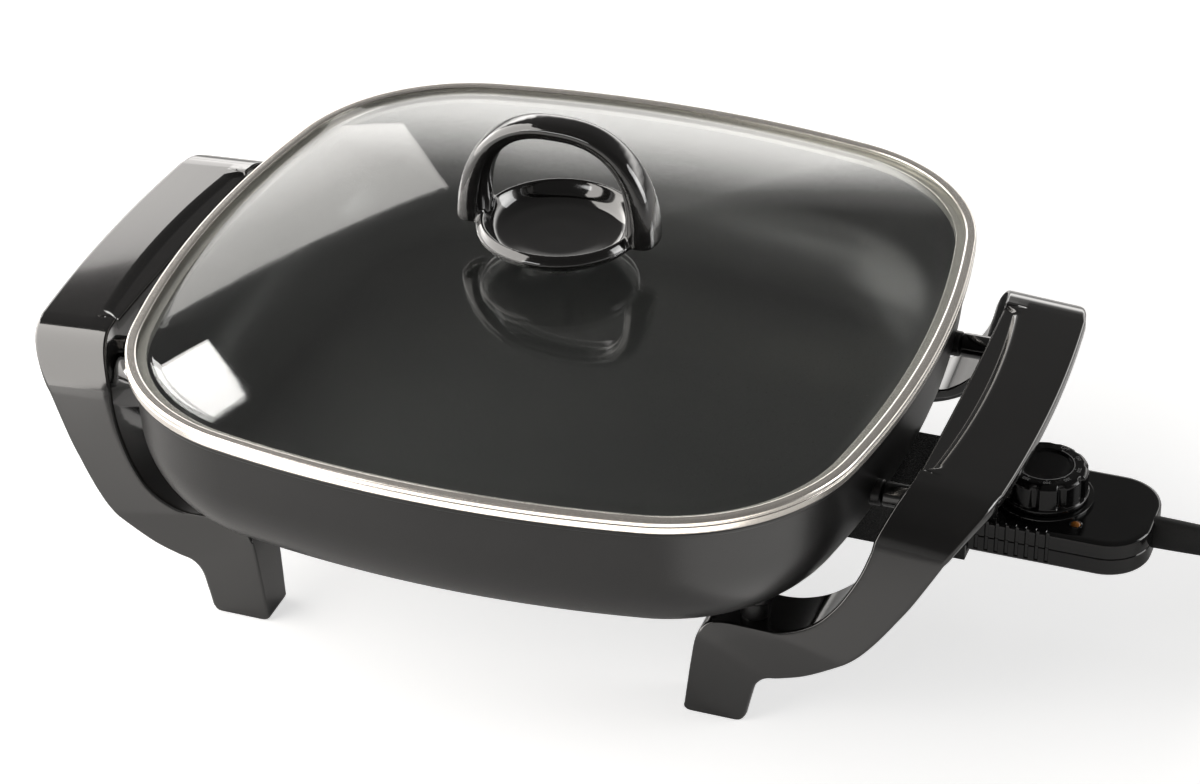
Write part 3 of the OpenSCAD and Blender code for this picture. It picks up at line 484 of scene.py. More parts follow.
def leg_height(z):
    """Keeps the drawn edges in step with the boss height and the grip height."""
    if z <= DRAWN_FLANGE:
        return z * FLANGE_Z / DRAWN_FLANGE
    return FLANGE_Z + (z - DRAWN_FLANGE) * (GRIP_Z - FLANGE_Z) / (DRAWN_GRIP - DRAWN_FLANGE)


def section(a, b, normal, way, deep, step=None):
    """One ring of the moulding: a and b are the outer surface's edges, deep the flange's end."""
    a, b, normal, way, deep = (Vector(v) for v in (a, b, normal, way, deep))
    across = b - a
    if step is None:
        low, high = a + across * 0.16, a + across * 0.24
    else:
        a, low, high = (Vector(v) for v in step)
    corners = [a, low, high, b, b - SKIN_T * normal, a + FLANGE_T * way - SKIN_T * normal,
               deep + FLANGE_T * way, deep]
    return rounded(corners, [1.2, 0.5, 1.5, 1.7, 1.2, 2.5, 1.2, 1.2], 4)


def spline(points, steps):
    """A smooth line through points of any size."""
    out = []
    last = len(points) - 1
    for i in range(last):
        p0, p1, p2, p3 = (points[max(i - 1, 0)], points[i], points[i + 1], points[min(i + 2, last)])
        for k in range(steps):
            t = k / steps
            out.append(tuple(0.5 * (2 * b + (c - a) * t + (2 * a - 5 * b + 4 * c - d) * t * t
                                    + (3 * b - a - 3 * c + d) * t ** 3)
                             for a, b, c, d in zip(p0, p1, p2, p3)))
    out.append(tuple(points[-1]))
    return out


def eased(a, b, m, n, f):
    """Runs from a to b as f goes from 0 to 1, with the slopes m and n at its ends."""
    return a + f * (m + f * (3 * (b - a) - 2 * m - n + f * (2 * (a - b) + m + n)))


def flange_d(z):
    """How far the flange reaches back from the leg's face at a height."""
    return 17 + min(5, z / 8) + min(4, max(0, z - 34) / 4)


def foot_rings(a, b, deep, way):
    """The foot's rings up to its first full one, with its bottom corners rounded."""
    rings = []
    for angle in (0, 0.5, 1.05):
        z, inset = FOOT_R * (1 - math.cos(angle)), FOOT_R * (1 - math.sin(angle))
        rings.append(section((a[0] + inset, a[1], z), (b[0] - inset, b[1], z), (0, -1, 0), way,
                             (deep[0] + inset, deep[1] - inset, z)))
    a, b, deep = ((v[0], v[1], FOOT_R) for v in (a, b, deep))
    return rings + [section(a, b, (0, -1, 0), way, deep)]


def leg_rings():
    rings = []
    fine = spline(EDGES, 4)
    for i, e in enumerate(fine):
        p, q = fine[max(i - 2, 0)], fine[min(i + 2, len(fine) - 1)]
        t = Vector((q[0] - p[0], q[1] - p[1])).normalized()
        zi, zo = leg_height(e[1]), leg_height(e[3])
        a = (FOOT_X + e[0], front_y(zi), zi)
        b = (FOOT_X + e[2], front_y(zo), zo)
        z = zi if zi <= FLANGE_Z else FLANGE_Z + (zi - FLANGE_Z) * 0.6
        deep = (a[0], front_y(z) + flange_d(e[1]), z)
        if i == 0:
            rings += foot_rings(a, b, deep, (1, 0, 0))
        else:
            rings.append(section(a, b, (0, -1, 0), (t[1], 0, -t[0]), deep))
    return rings


def bend_rings():
    """From the leg's leaning face round to the grip's level top."""
    rings = []
    steps, r = 14, SKIRT_R
    x0, x1 = FOOT_X + LEG_TOP_IN, FOOT_X + FOOT_W + LEG_TOP_OUT
    for i in range(steps + 1):
        f = i / steps
        a = math.pi - LEAN_A - (math.pi / 2 - LEAN_A) * f
        pi, po = bend_point(GRIP_END_Z, f), bend_point(GRIP_OUT_Z, f)
        p = (eased(x0, grip_in_x(GRIP_HALF), 9, 1, f), pi[0], pi[1])
        q = (eased(x1, grip_out_x(GRIP_HALF), 15, 3, f), po[0], po[1])
        deep = (p[0], front_y(SKIRT_Z) + SKIRT_Y + r + r * math.cos(a), SKIRT_Z - r + r * math.sin(a))
        rings.append(section(p, q, (0, math.cos(a), math.sin(a)), (1, 0, 0), deep))
    return rings


def grip_rings():
    """Half of the grip, closest together where its inner step begins."""
    rings = []
    for y in (-62.5, -61.4, -60.6, -59.5, -58, -57, -56, -54, -49, -42, -35, -28, -21, -14, -7, 0):
        xi, xo, zi = grip_in_x(y), grip_out_x(y), grip_in_z(y)
        deep = (xi, y * SKIRT_PULL, SKIRT_Z)
        edge = GRIP_IN + STEP_IN - STEP_BOW * (min(abs(y), STEP_Y) / GRIP_HALF) ** 2
        edge -= max(0, abs(y) - STEP_Y) * STEP_RUNOUT
        step = None
        if edge > xi + 0.6:
            width = min(STEP_W, 0.6 * (edge - xi))
            low, x0, x1 = GRIP_Z - STEP_DEEP, edge - width * 0.5, edge + width * 0.5
            top = zi + (GRIP_OUT_Z - zi) * (x1 - xi) / (xo - xi)
            step = ((xi, y, low), (x0, y, low), (x1, y, top))
        rings.append(section((xi, y, zi), (xo, y, GRIP_OUT_Z), (0, 0, 1), (1, 0, 0), deep, step))
    return rings


def handle_rings():
    rings = leg_rings() + bend_rings() + grip_rings()
    return rings + [[Vector((p.x, -p.y, p.z)) for p in r] for r in reversed(rings[:-1])]


def make_handle(name, side):
    r, run = PEG_D / 2, grip_in_x(PEG_Y) + 2 - PEG_FACE
    peg = [(2.0, -3.0), (2.0, 0.02), (r - 0.9, 0.02), (r - 0.25, 0.4), (r, 1.0), (r, run - 1.9),
           (r + 0.8, run - 1)]
    parts = [skin(handle_rings())]
    for sy in (-1, 1):
        parts.append(lathe(peg, (PEG_FACE, sy * PEG_Y, PEG_Z), "x", 40))
    piece(name + "_moulding", *joined(*parts), PHENOLIC, "phenolic", "base", [name],
          crease=48, mirror=side < 0)


# ---------- lid ----------

LID_Z = RIM_Z + 0.05
BAND_TOP = LID_Z + 5.7
GLASS_TOP, GLASS_T = BAND_TOP - 0.85, 3.3
CROWN_H, CROWN_SCALE, HOLE_R = 13.0, 0.2, 3.5
CROWN_Z = GLASS_TOP + CROWN_H
DISH_Z = CROWN_Z + 14.0
ARCH_W, ARCH_H, DISH_R = 68.0, 40.4, 32.5


def dome_z(k):
    """The glass's height where its outline is scaled by k."""
    return GLASS_TOP + CROWN_H * (1 - k * k) / (1 - CROWN_SCALE ** 2)


def make_lid():
    make_glass()
    make_band()


def make_glass():
    scales = [0.985, 0.97, 0.94, 0.9, 0.85, 0.8, 0.74, 0.68, 0.61, 0.54, 0.46, 0.38, 0.29, CROWN_SCALE]
    top = [outline(8, min(dome_z(k), CROWN_Z), k) for k in scales]
    under = [outline(8, min(dome_z(k), CROWN_Z) - GLASS_T, k) for k in reversed(scales)]
    edge = [outline(8, GLASS_TOP - GLASS_T + 0.2), outline(2.2, GLASS_TOP - GLASS_T),
            outline(1.9, GLASS_TOP - GLASS_T + 0.4), outline(1.9, GLASS_TOP - 0.4),
            outline(2.2, GLASS_TOP), outline(8, GLASS_TOP + 0.2)]

    def hole(z):
        turns = [math.atan2(p[1], p[0]) for p in top[-1]]
        return [(HOLE_R * math.cos(a), HOLE_R * math.sin(a), z) for a in turns]

    rings = [hole(CROWN_Z - GLASS_T)] + under + edge + top + [hole(CROWN_Z)]
    piece("lid_glass_pane", *skin(rings, loop=True), GLASS, "lid_glass", "lid", ["lid_glass"], crease=50)


def make_band():
    """The steel band: a rolled outer face with one groove, folded over and under the glass's edge."""
    low = GLASS_TOP - GLASS_T - 0.3
    profile = rounded(
        [(0.8, LID_Z), (0.02, LID_Z + 0.6), (0.02, LID_Z + 3.1), (0.42, LID_Z + 3.35), (0.42, LID_Z + 3.75),
         (0.1, LID_Z + 4.0), (0.1, BAND_TOP - 0.7), (0.8, BAND_TOP), (3.5, BAND_TOP), (4.2, BAND_TOP - 0.5),
         (4.2, GLASS_TOP + 0.3), (1.6, GLASS_TOP + 0.3), (1.6, low), (8.2, low), (8.2, LID_Z - 2.7),
         (7.2, LID_Z - 2.7), (7.2, LID_Z)],
        [0.4, 0.5, 0.15, 0.12, 0.12, 0.15, 0.5, 0.6, 0.5, 0.3, 0.1, 0.2, 0.3, 0.4, 0.3, 0.3, 0.3], 3)
    rings = [outline(d, z) for d, z in (tuple(p) for p in profile)]
    piece("lid_band", *skin(rings, loop=True), STEEL, "band_steel", "lid", ["lid_rim"], crease=40)


def arch_point(t):
    """A point of the knob's arch, t radians round from its +x leg."""
    c, s = math.cos(t), math.sin(t)
    return Vector((ARCH_W / 2 * math.copysign(abs(c) ** 0.8, c), 0, DISH_Z + 2 + (ARCH_H - 2) * s ** 0.9))


def arch_ring(p, t, grow, n=32):
    """The arch's section at p, across the direction t and fuller as grow goes from 0 to 1."""
    u = Vector((0, 1, 0)).cross(t)
    a, b = 3.7 + 2.6 * grow, 6.6 + 2.2 * grow
    ring = []
    for k in range(n):
        c, s = math.cos(2 * math.pi * k / n), math.sin(2 * math.pi * k / n)
        ring.append(p + u * a * math.copysign(abs(c) ** 0.75, c)
                    + Vector((0, 1, 0)) * b * math.copysign(abs(s) ** 0.75, s))
    return ring


def make_knob():
    """The arch and the turned dish under it, as one moulding."""
    legs, up = Vector((ARCH_W / 2, 0, DISH_Z)), Vector((0, 0, 1))
    foot = [(legs - up * 1.7, 0.9), (legs - up * 1.3, 1), (legs + up, 1)]
    rings = [arch_ring(p, up, g) for p, g in foot]
    for i in range(1, 36):
        t = math.radians(5 * i)
        way = (arch_point(min(t + 0.03, 3.14)) - arch_point(max(t - 0.03, 0.001))).normalized()
        rings.append(arch_ring(arch_point(t), way, (1 - math.sin(t)) ** 1.4))
    for p, g in reversed(foot):
        rings.append(arch_ring(Vector((-p.x, 0, p.z)), -up, g))
    r, hub = DISH_R, CROWN_Z + 1.5
    turned = rounded([(0.01, hub), (11, hub), (12, hub + 2), (14, DISH_Z - 9), (r - 9, DISH_Z - 7.6),
                      (r - 3, DISH_Z - 4.6), (r - 0.9, DISH_Z - 2.6), (r - 0.5, DISH_Z - 1),
                      (r - 2.6, DISH_Z + 2.4), (r - 3.6, DISH_Z + 2.4), (r - 6, DISH_Z - 2.6),
                      (r - 8.6, DISH_Z - 5), (14, DISH_Z - 6.2), (0.01, DISH_Z - 6.5)],
                     [0, 0.6, 0.8, 1.5, 3, 1.2, 0.8, 0.9, 0.5, 0.5, 2, 2, 3, 0], 4, closed=False)
    disc = lathe([tuple(p) for p in turned], (0, 0, 0), n=96)
    obj = piece("knob_moulding", *joined(skin(rings), disc), PHENOLIC, "phenolic", "lid", ["lid_knob"])
    melt(obj, 0.0007, 6)


def melt(obj, voxel, rounds):
    """Joins overlapping solids into one skin with eased corners, as one moulding has."""
    remesh = obj.modifiers.new("join", "REMESH")
    remesh.mode = "VOXEL"
    remesh.voxel_size = voxel
    soft = obj.modifiers.new("ease", "SMOOTH")
    soft.factor = 0.6
    soft.iterations = rounds
    graph = bpy.context.evaluated_depsgraph_get()
    fresh = bpy.data.meshes.new_from_object(obj.evaluated_get(graph))
    obj.modifiers.clear()
    finish = obj.data.materials[0]
    obj.data = fresh
    fresh.materials.clear()
    fresh.materials.append(finish)
    for f in fresh.polygons:
        f.use_smooth = True


# ---------- shroud and probe ----------

CASE_X0, CASE_X1, CASE_W, CASE_R = 170.2, 236.2, 47.4, 17.0
CASE_Z, SPLIT_Z, CASE_TOP = 40.0, 48.0, 55.0
NOSE_X, NOSE_W, NOSE_H = 142, 20.6, 5.2
RIBS, RIB_PITCH = 8, 3.85
DIAL_X, LEDGE_R, LEDGE_H = CASE_X0 + 22.8, 19, 1.8
LENS_X, LENS_Y = CASE_X0 + 38.6, -14.6
RELIEF_X, CORD_Z, CORD_D = 276.2, 48.4, 7.6


def copied(name, node, finish, body, bevel, crease=30):
    """A piece from a CAD node's own faces, with its edges eased."""
    obj = bpy.data.objects.new(name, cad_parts[node].data.copy())
    bpy.context.scene.collection.objects.link(obj)
    bm = bmesh.new()
    bm.from_mesh(obj.data)
    bmesh.ops.remove_doubles(bm, verts=bm.verts, dist=WELD)
    bmesh.ops.dissolve_limit(bm, angle_limit=math.radians(1), verts=bm.verts, edges=bm.edges)
    bm.to_mesh(obj.data)
    bm.free()
    ease = obj.modifiers.new("ease", "BEVEL")
    ease.width = bevel
    ease.segments = 3
    ease.limit_method = "ANGLE"
    ease.angle_limit = math.radians(40)
    ease.harden_normals = False
    graph = bpy.context.evaluated_depsgraph_get()
    fresh = bpy.data.meshes.new_from_object(obj.evaluated_get(graph))
    obj.modifiers.clear()
    obj.data = fresh
    return dress(obj, finish, body, [node], crease)


def case_outline(inset, z, cut):
    """Plan of the probe's case: square towards the shroud, round at the cord, ribbed sides."""
    w, r = CASE_W / 2 - inset, CASE_R - inset
    x0, x1 = CASE_X0 + inset, CASE_X1 - inset
    side = [(x0, -w + 0.6), (x0 + 0.2, -w + 0.2), (x0 + 0.6, -w)]
    for i in range(RIBS):
        g = CASE_X0 + 2.6 + i * RIB_PITCH
        side += [(g - 0.15, -w), (g + 0.1, -w + cut * 0.9), (g + 1.2, -w + cut * 0.9), (g + 1.45, -w)]
    side += [(x1 - r, -w)]
    for i in range(1, 13):
        a = -math.pi / 2 + math.pi / 2 * i / 12
        side.append((x1 - r + r * math.cos(a), -w + r + r * math.sin(a)))
    back = [(x, -y) for x, y in reversed(side)]
    return [(x, y, z) for x, y in side + back]


def case_nose(z0, z1):
    return bar(NOSE_X, CASE_X0 + 1.2, -NOSE_W, NOSE_W, z0, z1, 0.6)


def make_case():
    low = [(2.6, CASE_Z, 0), (1.2, CASE_Z + 0.35, 0), (0.5, CASE_Z + 0.9, 0), (0, CASE_Z + 1.6, 0),
           (0, CASE_Z + 2.0, 0), (0, CASE_Z + 2.3, 0.55), (0, SPLIT_Z - 0.35, 0.55),
           (0.3, SPLIT_Z - 0.02, 0.3)]
    rings = [case_outline(*v) for v in low]
    piece("case_lower", *joined(skin(rings), case_nose(CASE_Z, SPLIT_Z)), PROBE, "probe_plastic", "probe",
          ["probe_lower_case"], crease=32)
    high = [(0.3, SPLIT_Z, 0.6), (0, SPLIT_Z + 0.3, 1), (0, CASE_TOP - 1.5, 1), (0.3, CASE_TOP - 0.7, 0.9),
            (0.9, CASE_TOP - 0.22, 0.8), (1.7, CASE_TOP, 0.5), (2.6, CASE_TOP, 0)]
    rings = [case_outline(*v) for v in high]
    ledge_top = CASE_TOP + LEDGE_H
    ledge = lathe([(LEDGE_R - 0.4, CASE_TOP - 0.5), (LEDGE_R, CASE_TOP), (LEDGE_R, ledge_top - 0.5),
                   (LEDGE_R - 0.15, ledge_top - 0.15), (LEDGE_R - 0.6, ledge_top), (3.1, ledge_top)],
                  (DIAL_X, 0, 0), n=96)
    nose = case_nose(SPLIT_Z, SPLIT_Z + NOSE_H)
    piece("case_upper", *joined(skin(rings), ledge, nose), PROBE, "probe_plastic", "probe",
          ["probe_upper_case"], crease=32)
    make_lens()


def make_lens():
    """The amber indicator and its collar. The collar's last two faces, its caps, are left out."""
    glow = [(2.7, CASE_TOP - 2.8), (2.7, CASE_TOP - 2), (1.9, CASE_TOP - 1.9), (1.9, CASE_TOP + 0.1),
            (1.7, CASE_TOP + 0.45), (1.1, CASE_TOP + 0.7), (0.4, CASE_TOP + 0.8)]
    piece("lens_amber", *lathe(glow, (LENS_X, LENS_Y, 0), n=32), AMBER, "amber_lens", "probe",
          ["indicator_lens"])
    ring = [(1.95, CASE_TOP - 0.2), (1.95, CASE_TOP + 0.15), (2.25, CASE_TOP + 0.25), (2.6, CASE_TOP + 0.1),
            (2.7, CASE_TOP - 0.2)]
    v, f = lathe(ring, (LENS_X, LENS_Y, 0), n=32)
    piece("lens_collar", v, f[:-2], PROBE, "probe_plastic", "probe")


# ---------- dial ----------

DIAL_Z = CASE_TOP + LEDGE_H + 0.3
DIAL_R, DIAL_H = 17.0, 12.6
DIAL_TOP = DIAL_Z + DIAL_H
FLUTES, FLUTE_R, FLUTE_OUT = 10, 2.1, 0.9
ARC_R, NUMBER_R, PRINT_T = 10.7, 12.85, 0.05
OFF_ANGLE, STEP_ANGLE = 70, -36
LABELS = [("OFF", OFF_ANGLE)] + [(str(150 + 50 * i), OFF_ANGLE + STEP_ANGLE * (i + 1)) for i in range(7)]


def make_dial():
    make_dial_body()
    make_dial_scale()
    for word, angle in LABELS:
        make_dial_number(word, math.radians(angle))


def make_dial_body():
    r, h = DIAL_R, DIAL_H
    profile = rounded([(0.3, 0.0), (r, 0.0), (r, 1.8), (r - 0.5, 2.4), (r - 0.7, h - 1.5),
                       (r - 2.2, h - 0.1), (r - 3.4, h), (10.2, h), (9.7, h - 0.8), (0.3, h - 0.85)],
                      [0, 0.4, 0.4, 0.4, 0.9, 0.8, 0.5, 0.3, 0.3, 0], 4, closed=False)
    n = 360
    rings = []
    for q, z in (tuple(p) for p in profile):
        ring = []
        deep = min(1, max(0, (z - 1.9) / 0.7)) * min(1, max(0, (h + 0.2 - z) / 1.4))
        for k in range(n):
            a = 2 * math.pi * k / n
            off = ((a * FLUTES / (2 * math.pi)) % 1 - 0.5) * 2 * math.pi / FLUTES
            miss = FLUTE_R ** 2 - (r * math.sin(off)) ** 2
            cut = max(0, math.sqrt(miss) - FLUTE_OUT) if miss > 0 else 0
            radius = q - cut * deep * (q > 12)
            ring.append((DIAL_X + radius * math.cos(a), radius * math.sin(a), DIAL_Z + z))
        rings.append(ring)
    piece("dial_moulding", *skin(rings), DIAL, "dial_plastic", "dial", ["dial_knob"], crease=30)


def make_dial_scale():
    """The printed arc and its ticks."""
    start, end, steps = math.radians(-200), math.radians(OFF_ANGLE), 90
    edges = ((ARC_R, 0.0), (ARC_R, PRINT_T), (ARC_R + 0.3, PRINT_T), (ARC_R + 0.3, 0.0))
    arc = []
    for i in range(steps + 1):
        a = start + (end - start) * i / steps
        arc.append([(DIAL_X + q * math.cos(a), q * math.sin(a), DIAL_TOP + z) for q, z in edges])
    marks = [skin(arc)]
    tick = [(10.9, -0.14), (11.6, -0.14), (11.6, 0.14), (10.9, 0.14)]
    for _, angle in LABELS:
        c, s = math.cos(math.radians(angle)), math.sin(math.radians(angle))
        flat = [(DIAL_X + q * c - w * s, q * s + w * c) for q, w in tick]
        marks.append(skin([[(x, y, z) for x, y in flat] for z in (DIAL_TOP, DIAL_TOP + PRINT_T)]))
    piece("dial_scale", *joined(*marks), PRINT, "dial_plastic", "dial")


def make_dial_number(word, angle):
    text = bpy.data.curves.new("dial_" + word, "FONT")
    text.body = word
    text.size = 0.0020
    text.align_x = "CENTER"
    text.align_y = "CENTER"
    text.extrude = 0.00003
    obj = bpy.data.objects.new("dial_mark_" + word, text)
    bpy.context.scene.collection.objects.link(obj)
    obj.location = row((DIAL_X + NUMBER_R * math.cos(angle), NUMBER_R * math.sin(angle), DIAL_TOP + 0.02))
    obj.rotation_euler = (0, 0, angle - math.pi / 2)
    bpy.context.view_layer.update()
    mesh = bpy.data.meshes.new_from_object(obj)
    mesh.transform(obj.matrix_world)
    flat = bpy.data.objects.new("dial_number_" + word, mesh)
    bpy.context.scene.collection.objects.link(flat)
    bpy.data.objects.remove(obj)
    dress(flat, PRINT, "dial", crease=30)


# ---------- cord ----------

COIL_X, COIL_R, PITCH, COIL_BASE = RELIEF_X + 66, 42.0, 7.79, 1.15
COIL_Z = COIL_BASE + CORD_D / 2 + 2 * PITCH
PLUG_X, PLUG_Y, PLUG_A, PLUG_L = COIL_X + 31, -10.0, math.radians(-26), 31.0
PLUG_SHAPE = [(0, 5.0, 8.6, 2.5), (0.5, 5.6, 9.4, 2.8), (6.5, 6, 10, 3), (8.5, 8.2, 12.2, 3.4),
              (10.5, 11.2, 14.4, 3.6), (13, 12, 15, 3.6), (28, 12, 15, 3.6), (30.4, 11.7, 14.7, 3.4),
              (PLUG_L, 11, 14, 3)]
BLADE_Y, BLADE_T, BLADE_L = 6.35, 1.5, 17
SLEEVE_W, SLEEVE_H = 8.4, 13.0
# the cord's fall as (x, z), the way each turn of the coil sinks as (degrees, share of a pitch), and its end
DROP = [(0, 0), (5, -0.2), (10, -0.8), (16, -2.4), (22, -5.2), (27.6, -8.8), (33.4, -13.2), (39.6, -17.6),
        (46, -21.2), (52.6, -23.9), (59.4, -25.7)]
DROP_H = 26.4
SINK = [(0, 0), (15, 0.08), (32, 0.27), (49, 0.52), (64, 0.75), (80, 0.95), (100, 1)]
TO_PLUG = [(0, 0, COIL_BASE), (8, -0.8, COIL_BASE / 2), (16, -3.2, 0), (24, -6.6, 0), (31, -10, 0)]


def make_sleeve():
    """The strain relief: tall and narrow at the case, as round as the cord at its end."""
    rings = []
    steps = [(-2.0, 0.0), (0.0, 0.0), (0.3, 0.06), (8, 0.2), (18, 0.45), (28, 0.72), (36, 0.93),
             (39.2, 1.0), (39.8, 1.0), (40, 1.0)]
    for i, (dx, t) in enumerate(steps):
        tall = SLEEVE_H + (CORD_D + 2.3 - SLEEVE_H) * t
        wide = SLEEVE_W + (CORD_D + 1.5 - SLEEVE_W) * t
        inset = {0: 0.3, 8: 0.25, 9: 0.8}.get(i, 0)
        a, b = tall / 2 - inset, wide / 2 - inset
        ring = []
        for k in range(40):
            c, s = math.cos(2 * math.pi * k / 40), math.sin(2 * math.pi * k / 40)
            ring.append((CASE_X1 + dx, b * math.copysign(abs(c) ** 0.8, c),
                         CORD_Z + a * math.copysign(abs(s) ** 0.8, s)))
        rings.append(ring)
    return piece("cord_sleeve", *skin(rings), RUBBER, "cord_rubber", "probe", ["strain_relief"], crease=40)


def cord_route():
    """Out of the sleeve, down to the table, two turns of the coil and out to the plug."""
    fall = (CORD_Z - COIL_Z) / DROP_H
    route = [(RELIEF_X + x, 0, CORD_Z + z * fall) for x, z in DROP]
    for turn in range(2):
        top = COIL_Z - turn * PITCH
        for a, sink in SINK + [(a, 1) for a in range(122, 350, 22)]:
            t = math.radians(a)
            route.append((COIL_X + COIL_R * math.sin(t), COIL_R - COIL_R * math.cos(t), top - sink * PITCH))
    return route + [(COIL_X + x, y, CORD_D / 2 + z) for x, y, z in TO_PLUG]


def at_plug(mesh):
    """Turns a mesh to the plug's heading and moves it to the cord's end."""
    c, s = math.cos(PLUG_A), math.sin(PLUG_A)
    return [(PLUG_X + x * c - y * s, PLUG_Y + x * s + y * c, z) for x, y, z in mesh[0]], mesh[1]


def plug_ring(x, w, top, r):
    corners = [(-w, 0), (w, 0), (w, top), (-w, top)]
    return [(x, p[0], p[1]) for p in rounded(corners, [r * 0.4, r * 0.4, r, r], 5)]


def make_plug():
    shape = skin([plug_ring(*v) for v in PLUG_SHAPE])
    body = piece("plug_moulding", *at_plug(shape), RUBBER, "cord_rubber", "probe", ["plug_body"], crease=40)
    t = BLADE_T / 2
    bars = joined(*[bar(PLUG_L - 1, PLUG_L + BLADE_L, y - t, y + t, 4.3, 10.65, 0.35)
                    for y in (-BLADE_Y, BLADE_Y)])
    pins = piece("plug_pins", *at_plug(bars), BLADE, "contact_brass", "probe", ["plug_blades"], crease=40)
    return [body, pins]


def make_tie():
    """A strap round both turns of the coil."""
    low, top, w = COIL_BASE - 0.3, COIL_BASE + CORD_D + PITCH + 0.3, CORD_D / 2 + 0.3
    strap = []
    for grow, x in ((0, -2.5), (0.8, -2.5), (0.8, 2.5), (0, 2.5)):
        corners = [(-w - grow, low - grow), (w + grow, low - grow), (w + grow, top + grow),
                   (-w - grow, top + grow)]
        strap.append([(COIL_X + x, 2 * COIL_R + p[0], p[1]) for p in rounded(corners, 2.0 + grow, 5)])
    return piece("tie_strap", *skin(strap, loop=True), TIE, "tie_plastic", "probe", ["cord_tie"], crease=30)


def make_cord(sleeve):
    data = bpy.data.curves.new("lead", "CURVE")
    data.dimensions = "3D"
    data.bevel_depth = CORD_D / 2000
    data.bevel_resolution = 6
    data.resolution_u = 4
    data.use_fill_caps = True
    line = data.splines.new("BEZIER")
    route = cord_route()
    line.bezier_points.add(len(route) - 1)
    for p, q in zip(line.bezier_points, route):
        p.co = row(q)
        p.handle_left_type = p.handle_right_type = "AUTO"
    data.materials.append(RUBBER)
    lead = bpy.data.objects.new("lead_cord", data)
    bpy.context.scene.collection.objects.link(lead)
    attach(lead, "probe")
    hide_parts("cord", "cord_coil", "cord_tail")
    far_end = make_plug() + [make_tie(), sleeve]


make_pan()
make_handle("right_handle", 1)
make_handle("left_handle", -1)
make_lid()
make_knob()
copied("shroud_box", "terminal_shroud", SHROUD, "base", 0.0006)
make_case()
make_dial()
make_cord(make_sleeve())

# ---------- floor, light and camera ----------

FLOOR_HALF, FLOOR_Z = 6.0, -0.0004
PAPER, GLOW, GLOSSY_GLOW = 0.74, 0.64, 0.08


def make_floor():
    """White paper that keeps the object's shadow, and glows a little for the camera."""
    mesh = bpy.data.meshes.new("floor")
    h, z = FLOOR_HALF, FLOOR_Z
    mesh.from_pydata([(-h, -h, z), (h, -h, z), (h, h, z), (-h, h, z)], [], [(0, 1, 2, 3)])
    obj = bpy.data.objects.new("floor", mesh)
    bpy.context.scene.collection.objects.link(obj)
    n = Nodes("floor_paper")
    paper = n.add("ShaderNodeBsdfDiffuse")
    paper.inputs["Color"].default_value = (PAPER, PAPER, PAPER, 1)
    glow = n.add("ShaderNodeEmission")
    glow.inputs["Color"].default_value = (1, 1, 1, 1)
    glow.inputs["Strength"].default_value = GLOW
    both = n.add("ShaderNodeAddShader")
    n.link(paper.outputs["BSDF"], both.inputs[0])
    n.link(glow.outputs["Emission"], both.inputs[1])
    path = n.add("ShaderNodeLightPath")
    seen = n.add("ShaderNodeMath")
    seen.operation = "MULTIPLY_ADD"
    seen.use_clamp = True
    n.link(path.outputs["Is Glossy Ray"], seen.inputs[0])
    seen.inputs[1].default_value = GLOSSY_GLOW
    n.link(path.outputs["Is Camera Ray"], seen.inputs[2])
    pick = n.add("ShaderNodeMixShader")
    n.link(seen.outputs["Value"], pick.inputs["Fac"])
    n.link(paper.outputs["BSDF"], pick.inputs[1])
    n.link(both.outputs["Shader"], pick.inputs[2])
    n.link(pick.outputs["Shader"], n.out.inputs["Surface"])
    mesh.materials.append(n.mat)


# the room's brightness by height, behind the object and in front of it, as (height, level)
ROOM_STRENGTH = 2.4
BACK_ROOM = ((0.0, 0.25), (1.0, 0.04), (0.1, 0.75), (0.17, 1.1), (0.22, 1.0), (0.28, 0.66), (0.35, 0.2),
             (0.42, 0.05))
FRONT_ROOM = ((0.0, 0.13), (1.0, 0.04), (0.1, 0.1), (0.22, 0.035), (0.6, 0.03))


def make_world():
    """A white backdrop behind the object, dark above it, and a pale room in front."""
    world = bpy.data.worlds.new("studio")
    bpy.context.scene.world = world
    world.use_nodes = True
    tree = world.node_tree
    tree.nodes.clear()
    out = tree.nodes.new("ShaderNodeOutputWorld")
    white = tree.nodes.new("ShaderNodeBackground")
    white.inputs["Color"].default_value = (1, 1, 1, 1)
    room = tree.nodes.new("ShaderNodeBackground")
    room.inputs["Strength"].default_value = ROOM_STRENGTH
    path = tree.nodes.new("ShaderNodeLightPath")
    mix = tree.nodes.new("ShaderNodeMixShader")
    place = tree.nodes.new("ShaderNodeTexCoord")
    split = tree.nodes.new("ShaderNodeSeparateXYZ")
    tree.links.new(place.outputs["Generated"], split.inputs["Vector"])

    def ramp(stops):
        node = tree.nodes.new("ShaderNodeValToRGB")
        tree.links.new(split.outputs["Z"], node.inputs["Fac"])
        first = node.color_ramp.elements
        for i, (at, level) in enumerate(stops):
            stop = first[i] if i < 2 else first.new(at)
            stop.position = at
            stop.color = (level, level * 0.98, level * 0.955, 1)
        return node.outputs["Color"]

    back, front = ramp(BACK_ROOM), ramp(FRONT_ROOM)
    turn = tree.nodes.new("ShaderNodeMapRange")
    turn.inputs["From Min"].default_value = -0.05
    turn.inputs["From Max"].default_value = 0.25
    tree.links.new(split.outputs["Y"], turn.inputs["Value"])
    both = tree.nodes.new("ShaderNodeMix")
    both.data_type = "RGBA"
    tree.links.new(turn.outputs["Result"], both.inputs["Factor"])
    tree.links.new(front, both.inputs["A"])
    tree.links.new(back, both.inputs["B"])
    tree.links.new(both.outputs["Result"], room.inputs["Color"])
    tree.links.new(path.outputs["Is Camera Ray"], mix.inputs["Fac"])
    tree.links.new(room.outputs["Background"], mix.inputs[1])
    tree.links.new(white.outputs["Background"], mix.inputs[2])
    tree.links.new(mix.outputs["Shader"], out.inputs["Surface"])


